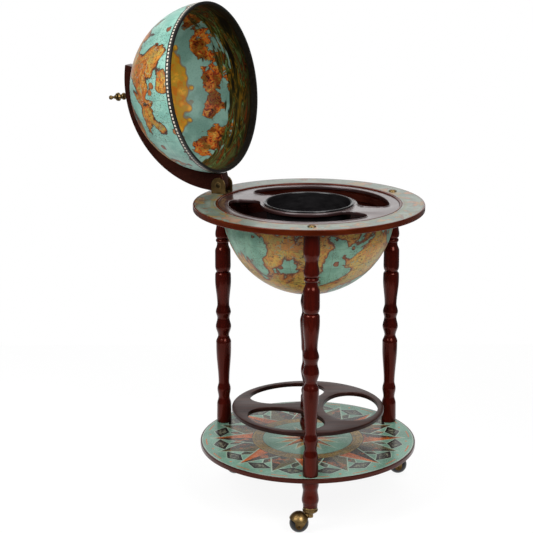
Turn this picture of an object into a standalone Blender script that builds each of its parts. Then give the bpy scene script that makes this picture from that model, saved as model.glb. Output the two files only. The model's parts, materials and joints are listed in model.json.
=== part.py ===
# Globe bar cart: a hinged globe lid over a table ring with a well for bottles and glasses,
# three turned legs, a centre column with a bottle rack, a round bottom shelf and ball casters.
# Lengths are in metres, +Z is up and the floor is at z = 0. The lid stands open at rest.

import math

import bmesh
import bpy
from mathutils import Matrix, Vector

# Fits
GAP = 0.0003            # between faces that seat on each other
BORE_FIT = 0.0003       # radial, round a bolt, stud, pin or stem in its bore
OVERRUN = 0.004         # a cutter runs this far past what it cuts
MERGE = 0.00001         # weld distance
ORIGIN_STEP = 0.001     # the origin is placed to this step

# Facets round a full turn
WIDE_SIDES = 40
GLOBE_SIDES = 30
POST_SIDES = 12
SMALL_SIDES = 10
SCREW_SIDES = 8
HEX_SIDES = 6
BALL_SIDES = 12
ROW_H = 0.0150          # a turned outline gets a row of facets for about each such height
MOST_ROWS = 4
WELL_OUT_STEPS = 11
WELL_IN_STEPS = 7
WELL_CORNER_STEPS = 3

# Globe: the lower bowl and the lid
GLOBE_R = 0.177
GLOBE_WALL = 0.0035
GLOBE_ROWS = 7
BOWL_FLAT_R = 0.0105
LID_FLAT_R = 0.008
HOOP_T = 0.0075
HOOP_H = 0.014
LID_LIFT = 0.0005       # the closed lid's rim above the tray
BAND_T = 0.0018
BAND_H = 0.012

# Table ring
RING_OUT = 0.0300       # its edge, past the circle of the legs
RING_T = 0.012
RING_TOP_Z = 0.636
RING_EDGE = 0.0015
RING_LAP = 0.007        # its bore, inside the globe
TRAY_SEAT_OUT = 0.0088  # the tray's seat, past the globe

# Tray plate
TRAY_T = 0.006
TRAY_DROP = 0.002
TRAY_FIT = 0.0005
TRAY_HOLE_FIT = 0.001
WELL_RIM_IN = 0.0105    # between the centre hole and a well
WELL_RIM_OUT = 0.0213   # between a well and the tray's seat
WELL_CORNER_R = 0.024
WELL_CORNER_SHARE = 0.9
SPOKE_HALF_TURN = math.radians(13.5)

# Glass shelf and ice bucket inside the bowl
GLASS_DEPTH = 0.049
GLASS_SHELF_T = 0.004
BUCKET_R = 0.088
BUCKET_BASE_R = 0.080
BUCKET_DEPTH = 0.118
BUCKET_WALL = 0.0018
BUCKET_LIP = 0.0035      # past the tray's hole
BUCKET_LIP_T = 0.0015
BUCKET_PASS = 0.0012

# Legs, feet and their fixings
LEG_OUT = 0.0217        # the circle of the legs, past the tray's seat
LEG_R = 0.017
FOOT_R = 0.0174
BOLT_R = 0.003
BOLT_HEAD_R = 0.0055
BOLT_HEAD_H = 0.0032
BOLT_SINK = 0.005
BOLT_SINK_R = 0.0059
BOLT_REACH = 0.028
STUD_REACH = 0.022
BORE_END = 0.0015       # a blind bore runs this far past its stud or bolt
CAP_R = 0.0085
CAP_H = 0.003

# Bottom shelf, column and bottle rack
SHELF_OUT = 0.0205      # its edge, past the circle of the legs
SHELF_T = 0.010
SHELF_TOP_Z = 0.122
SHELF_EDGE = 0.0012
COLUMN_R = 0.017
COLUMN_BOLT_R = 0.0038
COLUMN_BOLT_HEAD_R = 0.0085
COLUMN_BOLT_HEAD_H = 0.0045
RACK_IN = 0.047         # its edge, inside the circle of the legs
RACK_T = 0.009
RACK_TOP_Z = 0.195
RACK_TURN = math.radians(-2.0)
RACK_RIM = 0.0125
RACK_HUB_R = 0.032
RACK_HOLE_SHARE = 0.956 # of the way out to a hole's middle, to each side of it
RACK_HOLE_SIDES = 24
RACK_HOLES = 3

# Lid hinge
HINGE_TURN = math.radians(152.0)
LID_OPEN = math.radians(99.0)
PIN_IN = 0.0035         # the pin, inside the circle of the legs
PIN_RISE = 0.0175
PIN_R = 0.003
PIN_HEAD_R = 0.0050
PIN_HEAD_H = 0.0016
EAR_R = 0.0168
EAR_T = 0.003
BRACKET_BASE_T = 0.002
SCREW_R = 0.0014
SCREW_HEAD_R = 0.0028
SCREW_HEAD_H = 0.0012
SCREW_REACH = 0.008
SCREW_ALONG = 0.0118
SCREW_ACROSS = 0.0078

# Meridian arm and finial
ARM_W = 0.026
ARM_POLE_T = 0.0385
ARM_ROOT_R = 0.0125
ARM_SEAT_GAP = 0.0004
ARM_ROOT_GAP = 0.003
ARM_ROOT_DROP = 0.010
ARM_EDGE = 0.0012
ARM_STEPS = 16
ARM_TAPER_POWER = 1.25
ARM_TIP = math.radians(108.0)
POLE = math.radians(90.0)
FINIAL_R = 0.0092
FINIAL_LENGTH = 0.0505
FINIAL_SHANK_R = 0.0025
NUT_R = 0.006
NUT_H = 0.004

# Casters
BALL_R = 0.0195
BALL_FLAT_Y = 0.0186
BALL_ARC_STEPS = 6
TRAIL = 0.0225          # from the swivel axis to the ball's middle
AXLE_R = 0.0020
AXLE_INSET = 0.0006
HOOD_R = 0.0221
HOOD_RISE = 0.0249
HOOD_WALL = 0.0013
HOOD_SIDES = 16
HOOD_ROWS = 6
TONGUE_R = 0.0076
TONGUE_DROP = 0.0066
LUG_R = 0.0062
LUG_LOW_Z = 0.0320
LUG_WEB_W = 0.009
LUG_WEB_LOW_Z = 0.0335
LUG_WEB_TOP_Z = 0.0405
STEM_R = 0.004
STEM_TOP_Z = 0.079
SOCKET_R = 0.0156
SOCKET_LIP_R = 0.0145
SOCKET_BASE_R = 0.0122
SOCKET_LOW_Z = 0.0430
SOCKET_TOP_Z = 0.0548
SOCKET_CUP_FIT = 0.0007
SOCKET_LAP = 0.0033     # the foot's end, inside its socket

# Radii that follow from the sizes above
RING_BORE_R = GLOBE_R - RING_LAP
TRAY_SEAT_R = GLOBE_R + TRAY_SEAT_OUT
TRAY_R = TRAY_SEAT_R - TRAY_FIT
LEG_CIRCLE_R = TRAY_SEAT_R + LEG_OUT
PIN_CIRCLE_R = LEG_CIRCLE_R - PIN_IN
RING_R = LEG_CIRCLE_R + RING_OUT
SHELF_R = LEG_CIRCLE_R + SHELF_OUT
TRAY_HOLE_R = BUCKET_R + TRAY_HOLE_FIT
BUCKET_LIP_R = TRAY_HOLE_R + BUCKET_LIP
WELL_IN_R = TRAY_HOLE_R + WELL_RIM_IN
WELL_OUT_R = TRAY_SEAT_R - WELL_RIM_OUT
RACK_R = LEG_CIRCLE_R - RACK_IN
RACK_HOLE_RADIAL = (RACK_R - RACK_RIM - RACK_HUB_R) / 2
RACK_PLACE_R = RACK_HUB_R + RACK_HOLE_RADIAL
RACK_HOLE_TANGENT = RACK_PLACE_R * RACK_HOLE_SHARE
GLOBE_IN_R = GLOBE_R - GLOBE_WALL

# Heights that follow
RING_LOW_Z = RING_TOP_Z - RING_T
TRAY_TOP_Z = RING_TOP_Z - TRAY_DROP
TRAY_LOW_Z = TRAY_TOP_Z - TRAY_T
BOWL_Z = RING_LOW_Z - GAP
GLASS_TOP_Z = TRAY_TOP_Z - GLASS_DEPTH
LID_Z = TRAY_TOP_Z + LID_LIFT
PIN_Z = RING_TOP_Z + PIN_RISE
PIN_OVER_RIM = PIN_Z - LID_Z
SHELF_LOW_Z = SHELF_TOP_Z - SHELF_T
LEG_H = RING_LOW_Z - SHELF_TOP_Z - 2 * GAP
FOOT_TOP_Z = SHELF_LOW_Z - GAP
FOOT_LOW_Z = SOCKET_TOP_Z - SOCKET_LAP
FOOT_H = FOOT_TOP_Z - FOOT_LOW_Z
FOOT_END_R = FOOT_R * 0.72
RACK_LOW_Z = RACK_TOP_Z - RACK_T
LEG_TURNS = {
    "front": math.radians(-90.0),
    "right": math.radians(30.0),
    "left": math.radians(150.0),
}
# At rest the front ball trails to the left, the other two to the right
TRAIL_TURNS = {
    "front": math.radians(180.0),
    "right": math.radians(0.0),
    "left": math.radians(0.0),
}

# Turned outlines, top to bottom: (share of the height, share of the greatest radius)
LEG_SHARES = (
    (1.000, 0.92), (0.923, 0.99), (0.883, 0.76), (0.842, 0.86), (0.822, 0.68),
    (0.815, 0.82), (0.806, 0.71), (0.781, 0.96), (0.695, 0.97), (0.677, 0.71),
    (0.661, 1.00), (0.531, 0.75), (0.498, 0.94), (0.471, 0.77), (0.432, 0.96),
    (0.392, 0.70), (0.364, 0.94), (0.181, 0.69), (0.150, 0.85), (0.113, 0.72),
    (0.081, 0.89), (0.000, 0.94),
)
FOOT_SHARES = ((1.00, 1.00), (0.90, 0.99), (0.52, 0.84), (0.20, 0.99), (0.00, 0.82))
COLUMN_SHARES = (
    (1.000, 0.82), (0.980, 0.82), (0.915, 0.95), (0.825, 0.77), (0.750, 1.00),
    (0.530, 0.84), (0.486, 0.76), (0.396, 0.71), (0.318, 0.89), (0.184, 0.60),
    (0.137, 0.83), (0.105, 0.70), (0.070, 0.90), (0.000, 0.93),
)
COLUMN_LOW_SHARES = (
    (1.00, 0.90), (0.84, 0.88), (0.76, 0.72), (0.52, 0.98), (0.28, 0.74),
    (0.18, 0.92), (0.00, 0.97),
)
FINIAL_SHARES = (
    (0.95, 0.42), (0.91, 0.53), (0.85, 0.42), (0.78, 0.24), (0.69, 0.44), (0.62, 0.44),
    (0.57, 0.95), (0.50, 1.00), (0.44, 0.56), (0.36, 0.52), (0.25, 0.84), (0.18, 0.52),
    (0.09, 0.60), (0.05, 0.98), (0.00, 1.00),
)


def clear_scene():
    for old in list(bpy.data.objects):
        bpy.data.objects.remove(old)


def new_collection(name):
    collection = bpy.data.collections.new(name)
    bpy.context.scene.collection.children.link(collection)
    return collection


def new_material(name, colour, roughness, metallic=0.0):
    material = bpy.data.materials.new(name)
    material.use_nodes = True
    shader = material.node_tree.nodes["Principled BSDF"]
    shader.inputs["Base Color"].default_value = (*colour, 1.0)
    shader.inputs["Roughness"].default_value = roughness
    shader.inputs["Metallic"].default_value = metallic
    return material


clear_scene()
CART = new_collection("globe_bar_cart")
CUTTERS = new_collection("cutters")

MAHOGANY = new_material("mahogany", (0.11, 0.018, 0.010), 0.22)
DARK_WOOD = new_material("dark_wood", (0.055, 0.016, 0.012), 0.35)
RING_PRINT = new_material("ring_print", (0.25, 0.36, 0.33), 0.40)
SHELF_PRINT = new_material("shelf_print", (0.24, 0.38, 0.33), 0.35)
GLOBE_PRINT = new_material("globe_print", (0.22, 0.45, 0.40), 0.40)
LID_PRINT = new_material("lid_print", (0.16, 0.28, 0.25), 0.40)
BLACK_TRIM = new_material("black_trim", (0.02, 0.018, 0.018), 0.35)
BLACK_PLASTIC = new_material("black_plastic", (0.012, 0.011, 0.012), 0.15)
BALL_PLASTIC = new_material("ball_plastic", (0.015, 0.015, 0.017), 0.28)
BRASS = new_material("brass", (0.32, 0.19, 0.06), 0.32, 1.0)
STEEL = new_material("steel", (0.45, 0.45, 0.46), 0.35, 1.0)


def place(thing, parent, location=(0, 0, 0), rotation=(0, 0, 0)):
    thing.parent = parent
    thing.location = location
    thing.rotation_euler = rotation
    return thing


def new_empty(name, parent, location=(0, 0, 0), rotation=(0, 0, 0)):
    empty = bpy.data.objects.new(name, None)
    CART.objects.link(empty)
    return place(empty, parent, location, rotation)


def new_part(name, mesh, material, parent, location=(0, 0, 0), rotation=(0, 0, 0)):
    part = bpy.data.objects.new(name, mesh)
    CART.objects.link(part)
    if not mesh.materials:
        mesh.materials.append(material)
    return place(part, parent, location, rotation)


def new_cutter(name, mesh, parent, location=(0, 0, 0), rotation=(0, 0, 0)):
    cutter = bpy.data.objects.new(name, mesh)
    CUTTERS.objects.link(cutter)
    cutter.hide_render = True
    cutter.display_type = "WIRE"
    return place(cutter, parent, location, rotation)


def boolean(part, tool, operation):
    modifier = part.modifiers.new(operation.lower(), "BOOLEAN")
    modifier.operation = operation
    modifier.solver = "EXACT"
    modifier.object = tool


def polar(radius, turn, height=0.0):
    return (radius * math.cos(turn), radius * math.sin(turn), height)


def arc(radius, start, end, steps, centre=(0, 0)):
    """Points on an arc in a plane, both ends included."""
    points = []
    for i in range(steps + 1):
        turn = start + (end - start) * i / steps
        points.append((centre[0] + radius * math.cos(turn), centre[1] + radius * math.sin(turn)))
    return points


def spindle(shares, height, radius, base=0.0):
    """A turned outline, top to bottom, that eases from one hollow or swelling to the next."""
    points = []
    for (top, wide), (low, narrow) in zip(shares, shares[1:]):
        rows = min(MOST_ROWS, max(1, round((top - low) * height / ROW_H)))
        for i in range(rows):
            part = i / rows
            ease = part * part * (3 - 2 * part)
            points.append((
                radius * (wide + (narrow - wide) * ease),
                base + height * (top + (low - top) * part),
            ))
    points.append((radius * shares[-1][1], base + height * shares[-1][0]))
    return points


def outline_mesh(name, outline, closed):
    """The edges of a half outline in the XZ plane, ready to be turned round Z."""
    mesh = bpy.data.meshes.new(name)
    edges = [(i, i + 1) for i in range(len(outline) - 1)]
    if closed:
        edges.append((len(outline) - 1, 0))
    mesh.from_pydata([(r, 0, z) for r, z in outline], edges, [])
    return mesh


def turn_outline(thing, sides):
    screw = thing.modifiers.new("turn", "SCREW")
    screw.axis = "Z"
    screw.steps = sides
    screw.render_steps = sides
    screw.use_merge_vertices = True
    screw.merge_threshold = MERGE
    screw.use_smooth_shade = True


def turned(name, outline, sides, material, parent, location=(0, 0, 0), rotation=(0, 0, 0),
           closed=False):
    """A solid of revolution. The outline runs down its outer side."""
    part = new_part(name, outline_mesh(name, outline, closed), material, parent, location, rotation)
    turn_outline(part, sides)
    return part


def plate_mesh(name, loops, thickness):
    """A flat plate from closed outlines, the first its edge and the rest its holes."""
    curve = bpy.data.curves.new(name, "CURVE")
    curve.dimensions = "2D"
    curve.fill_mode = "BOTH"
    curve.extrude = thickness / 2
    for loop in loops:
        spline = curve.splines.new("POLY")
        spline.points.add(len(loop) - 1)
        for point, (x, y) in zip(spline.points, loop):
            point.co = (x, y, 0, 1)
        spline.use_cyclic_u = True
    guide = bpy.data.objects.new(name + "_guide", curve)
    CART.objects.link(guide)
    depsgraph = bpy.context.evaluated_depsgraph_get()
    mesh = bpy.data.meshes.new_from_object(guide.evaluated_get(depsgraph))
    bpy.data.objects.remove(guide)
    solid = bmesh.new()
    solid.from_mesh(mesh)
    bmesh.ops.remove_doubles(solid, verts=solid.verts, dist=MERGE)
    bmesh.ops.recalc_face_normals(solid, faces=solid.faces)
    solid.to_mesh(mesh)
    solid.free()
    mesh.name = name
    return mesh


def rod_mesh(name, radius, length, sides=SMALL_SIDES):
    """A plain cylinder along Z about its middle."""
    mesh = bpy.data.meshes.new(name)
    solid = bmesh.new()
    bmesh.ops.create_cone(
        solid, cap_ends=True, segments=sides, radius1=radius, radius2=radius, depth=length)
    solid.to_mesh(mesh)
    solid.free()
    return mesh


def box_mesh(name, size, centre=(0, 0, 0)):
    mesh = bpy.data.meshes.new(name)
    solid = bmesh.new()
    bmesh.ops.create_cube(solid, size=1)
    bmesh.ops.scale(solid, vec=Vector(size), verts=solid.verts)
    bmesh.ops.translate(solid, vec=Vector(centre), verts=solid.verts)
    solid.to_mesh(mesh)
    solid.free()
    return mesh


def drill(part, radius, length, parent, location, rotation=(0, 0, 0), sides=SMALL_SIDES):
    name = f"{part.name}_drill_{len(part.modifiers)}"
    boolean(part, new_cutter(name, rod_mesh(name, radius, length, sides), parent, location,
                             rotation), "DIFFERENCE")


def bolt_outline(shank_r, reach, head_r, head_h):
    """A round-headed bolt whose head seats at height zero and whose shank runs down."""
    return [
        (0, head_h),
        (head_r, head_h),
        (head_r, 0),
        (shank_r, 0),
        (shank_r, -reach),
        (0, -reach),
    ]


def finished_mesh(blank):
    """The mesh of an object with its modifiers done. The object and its cutters are removed."""
    depsgraph = bpy.context.evaluated_depsgraph_get()
    mesh = bpy.data.meshes.new_from_object(blank.evaluated_get(depsgraph))
    for thing in [modifier.object for modifier in blank.modifiers] + [blank]:
        bpy.data.objects.remove(thing)
    return mesh


def table_ring(cart):
    outline = [
        (TRAY_SEAT_R, RING_TOP_Z),
        (RING_R - RING_EDGE, RING_TOP_Z),
        (RING_R, RING_TOP_Z - RING_EDGE),
        (RING_R, RING_LOW_Z),
        (RING_BORE_R, RING_LOW_Z),
        (RING_BORE_R, TRAY_LOW_Z - GAP),
        (TRAY_SEAT_R, TRAY_LOW_Z - GAP),
    ]
    ring = turned("table_ring", outline, WIDE_SIDES, RING_PRINT, cart, closed=True)
    for turn in LEG_TURNS.values():
        middle = RING_TOP_Z - RING_T / 2
        drill(ring, BOLT_R + BORE_FIT, RING_T + 2 * OVERRUN, cart,
              polar(LEG_CIRCLE_R, turn, middle), (0, 0, turn))
        drill(ring, BOLT_SINK_R, 2 * BOLT_SINK, cart, polar(LEG_CIRCLE_R, turn, RING_TOP_Z),
              (0, 0, turn))
    for x, y in screw_places():
        depth = SCREW_REACH + BORE_END
        drill(ring, SCREW_R + BORE_FIT, 2 * depth, cart, hinge_point(x, y, RING_TOP_Z),
              sides=SCREW_SIDES)
    return ring


def kidney_loop():
    """One well: a rounded rectangle bent round the tray's middle."""
    middle_r = (WELL_IN_R + WELL_OUT_R) / 2
    half_w = (WELL_OUT_R - WELL_IN_R) / 2
    half_l = (math.pi / 2 - SPOKE_HALF_TURN) * middle_r
    corner_r = min(WELL_CORNER_R, half_w * WELL_CORNER_SHARE)
    straight = half_l - corner_r
    flat_w = half_w - corner_r
    quarter = math.pi / 2
    # Each corner, and the facets of the long side that follows it
    corners = ((1, 1, WELL_OUT_STEPS), (-1, 1, 1), (-1, -1, WELL_IN_STEPS), (1, -1, 1))
    points = []
    for corner, (sx, sy, steps) in enumerate(corners):
        points += arc(corner_r, corner * quarter, (corner + 1) * quarter, WELL_CORNER_STEPS,
                      (sx * straight, sy * flat_w))
        for i in range(1, steps):
            points.append((sx * straight * (1 - 2 * i / steps), sy * half_w))
    return [polar(middle_r + y, -x / middle_r)[:2] for x, y in points]


def turned_loop(loop, turn):
    rotation = Matrix.Rotation(turn, 2)
    return [tuple(rotation @ Vector(point)) for point in loop]


def tray_plate(cart):
    quarter = math.pi / 2
    well = kidney_loop()
    loops = [
        arc(TRAY_R, 0, 2 * math.pi, WIDE_SIDES)[:-1],
        arc(TRAY_HOLE_R, 0, 2 * math.pi, WIDE_SIDES)[:-1],
        turned_loop(well, HINGE_TURN + quarter),
        turned_loop(well, HINGE_TURN - quarter),
    ]
    middle = TRAY_TOP_Z - TRAY_T / 2
    new_part("tray_plate", plate_mesh("tray_plate", loops, TRAY_T), DARK_WOOD, cart,
             (0, 0, middle))


def shell_outline(pole, hole_r, flat_r):
    """Both faces of half the globe's wall, with a hole and an inner flat at its pole."""
    outer_end = math.copysign(math.acos(hole_r / GLOBE_R), pole)
    inner_end = math.copysign(math.acos(flat_r / GLOBE_IN_R), pole)
    outer = arc(GLOBE_R, 0, outer_end, GLOBE_ROWS)
    inner = arc(GLOBE_IN_R, 0, inner_end, GLOBE_ROWS)
    inner.append((hole_r, inner[-1][1]))
    # The outline runs down its outer side, so the lid's starts at its pole
    return outer[::-1] + inner if pole > 0 else outer + inner[::-1]


def pole_flat(flat_r):
    """Distance of the inner flat from the globe's middle."""
    return math.sqrt(GLOBE_IN_R ** 2 - flat_r ** 2)


def lower_bowl(cart):
    outline = shell_outline(-POLE, COLUMN_BOLT_R + BORE_FIT, BOWL_FLAT_R)
    turned("lower_bowl", outline, GLOBE_SIDES, GLOBE_PRINT, cart, (0, 0, BOWL_Z), closed=True)


def globe_reach(depth, flat_r):
    """Radius that clears the faceted inside of the globe at a distance from its middle."""
    row_turn = math.acos(flat_r / GLOBE_IN_R) / GLOBE_ROWS
    row = int(math.asin(depth / GLOBE_IN_R) / row_turn)
    (wide, high), (narrow, low) = arc(GLOBE_IN_R, row * row_turn, (row + 1) * row_turn, 1)
    return wide + (narrow - wide) * (depth - high) / (low - high) - GAP


def bowl_hoop(cart):
    outline = [
        (globe_reach(0, BOWL_FLAT_R) - HOOP_T, 0),
        (globe_reach(0, BOWL_FLAT_R), 0),
        (globe_reach(HOOP_H, BOWL_FLAT_R), -HOOP_H),
        (globe_reach(0, BOWL_FLAT_R) - HOOP_T, -HOOP_H),
    ]
    turned("bowl_hoop", outline, GLOBE_SIDES, DARK_WOOD, cart, (0, 0, BOWL_Z), closed=True)


def bucket_radius(depth):
    """The bucket's outer radius at a depth below the tray's top."""
    return BUCKET_R + (BUCKET_BASE_R - BUCKET_R) * depth / BUCKET_DEPTH


def glass_shelf(cart):
    high = BOWL_Z - GLASS_TOP_Z
    low = high + GLASS_SHELF_T
    hole = bucket_radius(GLASS_DEPTH) + BUCKET_PASS
    outline = [
        (hole, GLASS_TOP_Z),
        (globe_reach(high, BOWL_FLAT_R), GLASS_TOP_Z),
        (globe_reach(low, BOWL_FLAT_R), GLASS_TOP_Z - GLASS_SHELF_T),
        (hole, GLASS_TOP_Z - GLASS_SHELF_T),
    ]
    turned("glass_shelf", outline, GLOBE_SIDES, BLACK_PLASTIC, cart, closed=True)


def ice_bucket(cart):
    seat = TRAY_TOP_Z + GAP
    outline = [
        (BUCKET_R - BUCKET_WALL, BUCKET_LIP_T),
        (BUCKET_LIP_R, BUCKET_LIP_T),
        (BUCKET_LIP_R, 0),
        (BUCKET_R, 0),
        (bucket_radius(BUCKET_DEPTH), -BUCKET_DEPTH),
        (0, -BUCKET_DEPTH),
    ]
    inside = [
        (0, BUCKET_WALL - BUCKET_DEPTH),
        (BUCKET_BASE_R - BUCKET_WALL, BUCKET_WALL - BUCKET_DEPTH),
    ]
    turned("ice_bucket", inside + outline, GLOBE_SIDES, BLACK_PLASTIC, cart, (0, 0, seat))


def leg(cart, side):
    """A turned leg with a bore in each end, for the ring's bolt and the foot's stud."""
    bore_r = BOLT_R + BORE_FIT
    top_bore = BOLT_REACH - (RING_T - BOLT_SINK) + BORE_END
    low_bore = STUD_REACH + BORE_END
    outline = [(0, LEG_H - top_bore), (bore_r, LEG_H - top_bore), (bore_r, LEG_H)]
    outline += spindle(LEG_SHARES, LEG_H, LEG_R)
    outline += [(bore_r, 0), (bore_r, low_bore), (0, low_bore)]
    turned(f"leg_{side}", outline, POST_SIDES, MAHOGANY, cart,
           polar(LEG_CIRCLE_R, LEG_TURNS[side], SHELF_TOP_Z + GAP))
    bolt = bolt_outline(BOLT_R, BOLT_REACH, BOLT_HEAD_R, BOLT_HEAD_H)
    turned(f"leg_bolt_{side}", bolt, SMALL_SIDES, STEEL, cart,
           polar(LEG_CIRCLE_R, LEG_TURNS[side], RING_TOP_Z - BOLT_SINK + GAP))


def foot(cart, side):
    """The turned foot under the shelf, its stud to the leg and its bore for the caster's stem."""
    stud_bore = BOLT_R + BORE_FIT
    stem_bore = STEM_R + BORE_FIT
    stem_end = STEM_TOP_Z + BORE_END - FOOT_LOW_Z
    stud_end = FOOT_H - STUD_REACH - BORE_END
    outline = [(0, stud_end), (stud_bore, stud_end), (stud_bore, FOOT_H)]
    # The turning ends in a shoulder on the socket's lip and a tenon in its cup
    tenon = SOCKET_TOP_Z + GAP - FOOT_LOW_Z
    outline += spindle(FOOT_SHARES, FOOT_H - tenon, FOOT_R, tenon)
    outline += [(FOOT_END_R, tenon), (FOOT_END_R, 0)]
    outline += [(stem_bore, 0), (stem_bore, stem_end), (0, stem_end)]
    turned(f"foot_{side}", outline, POST_SIDES, MAHOGANY, cart,
           polar(LEG_CIRCLE_R, LEG_TURNS[side], FOOT_LOW_Z))
    length = SHELF_T + 2 * STUD_REACH
    new_part(f"foot_stud_{side}", rod_mesh(f"foot_stud_{side}", BOLT_R, length), STEEL, cart,
             polar(LEG_CIRCLE_R, LEG_TURNS[side], SHELF_TOP_Z - SHELF_T / 2))


def bolt_cap(cart, side):
    outline = [(0, CAP_H)]
    outline += [(CAP_R * math.sin(turn), CAP_H * math.cos(turn))
                for turn in (POLE * i / 4 for i in range(1, 4))]
    outline += [(CAP_R, 0), (0, 0)]
    turned(f"bolt_cap_{side}", outline, SMALL_SIDES, BRASS, cart,
           polar(LEG_CIRCLE_R, LEG_TURNS[side], RING_TOP_Z + GAP))


def bottom_shelf(cart):
    hole_r = COLUMN_BOLT_R + BORE_FIT
    outline = [
        (hole_r, SHELF_TOP_Z),
        (SHELF_R - SHELF_EDGE, SHELF_TOP_Z),
        (SHELF_R, SHELF_TOP_Z - SHELF_EDGE),
        (SHELF_R, SHELF_LOW_Z),
        (hole_r, SHELF_LOW_Z),
    ]
    shelf = turned("bottom_shelf", outline, WIDE_SIDES, SHELF_PRINT, cart, closed=True)
    for turn in LEG_TURNS.values():
        drill(shelf, BOLT_R + BORE_FIT, SHELF_T + 2 * OVERRUN, cart,
              polar(LEG_CIRCLE_R, turn, SHELF_TOP_Z - SHELF_T / 2), (0, 0, turn))


def column(cart):
    """The turned column, in two lengths with the bottle rack held between them."""
    bore_r = COLUMN_BOLT_R + BORE_FIT
    bore = STUD_REACH + BORE_END
    head_r = COLUMN_R * COLUMN_SHARES[0][1]
    dish_r = GLOBE_R + GAP
    base = RACK_TOP_Z + GAP
    top = BOWL_Z - math.sqrt(dish_r ** 2 - head_r ** 2)
    height = top - base
    # The top is dished to fit the bowl
    dish = []
    for radius in (bore_r, (bore_r + head_r) / 2):
        dish.append((radius, BOWL_Z - math.sqrt(dish_r ** 2 - radius ** 2) - base))
    outline = [(0, height - bore), (bore_r, height - bore)] + dish
    outline += spindle(COLUMN_SHARES, height, COLUMN_R)
    outline += [(bore_r, 0), (bore_r, bore), (0, bore)]
    turned("column_upper", outline, POST_SIDES, MAHOGANY, cart, (0, 0, base))

    low_base = SHELF_TOP_Z + GAP
    low_height = RACK_LOW_Z - GAP - low_base
    outline = [(0, low_height - bore), (bore_r, low_height - bore), (bore_r, low_height)]
    outline += spindle(COLUMN_LOW_SHARES, low_height, COLUMN_R)
    outline += [(bore_r, 0), (bore_r, bore), (0, bore)]
    turned("column_lower", outline, POST_SIDES, MAHOGANY, cart, (0, 0, low_base))

    # A bolt from inside the bowl, a stud through the rack and a bolt from under the shelf
    seat = BOWL_Z - pole_flat(BOWL_FLAT_R) + GAP
    reach = STUD_REACH + (seat - (BOWL_Z - GLOBE_R))
    bolt = bolt_outline(COLUMN_BOLT_R, reach, COLUMN_BOLT_HEAD_R, COLUMN_BOLT_HEAD_H)
    turned("bowl_bolt", bolt, SMALL_SIDES, STEEL, cart, (0, 0, seat))
    stud = rod_mesh("rack_stud", COLUMN_BOLT_R, RACK_T + 2 * STUD_REACH)
    new_part("rack_stud", stud, STEEL, cart, (0, 0, RACK_TOP_Z - RACK_T / 2))
    bolt = bolt_outline(COLUMN_BOLT_R, STUD_REACH + SHELF_T, COLUMN_BOLT_HEAD_R,
                        COLUMN_BOLT_HEAD_H)
    turned("shelf_bolt", bolt, SMALL_SIDES, STEEL, cart, (0, 0, SHELF_LOW_Z - GAP),
           (math.pi, 0, 0))


def rack_hole_loop(turn):
    """An oval place for a bottle, longer across than along its radius."""
    points = []
    for i in range(RACK_HOLE_SIDES):
        around = 2 * math.pi * i / RACK_HOLE_SIDES
        points.append((
            RACK_PLACE_R + RACK_HOLE_RADIAL * math.cos(around),
            RACK_HOLE_TANGENT * math.sin(around),
        ))
    return turned_loop(points, turn)


def bottle_rack(cart):
    loops = [
        arc(RACK_R, 0, 2 * math.pi, WIDE_SIDES)[:-1],
        arc(COLUMN_BOLT_R + BORE_FIT, 0, 2 * math.pi, SMALL_SIDES)[:-1],
    ]
    for i in range(RACK_HOLES):
        loops.append(rack_hole_loop(RACK_TURN + 2 * math.pi * i / RACK_HOLES))
    new_part("bottle_rack", plate_mesh("bottle_rack", loops, RACK_T), DARK_WOOD, cart,
             (0, 0, RACK_TOP_Z - RACK_T / 2))


def hinge_point(along, across, height):
    """A point given from the hinge pin's middle, outward and round the ring."""
    x, y = PIN_CIRCLE_R + along, across
    return (
        x * math.cos(HINGE_TURN) - y * math.sin(HINGE_TURN),
        x * math.sin(HINGE_TURN) + y * math.cos(HINGE_TURN),
        height,
    )


def screw_places():
    return [(sx * SCREW_ALONG, sy * SCREW_ACROSS) for sx in (-1, 1) for sy in (-1, 1)]


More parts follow.
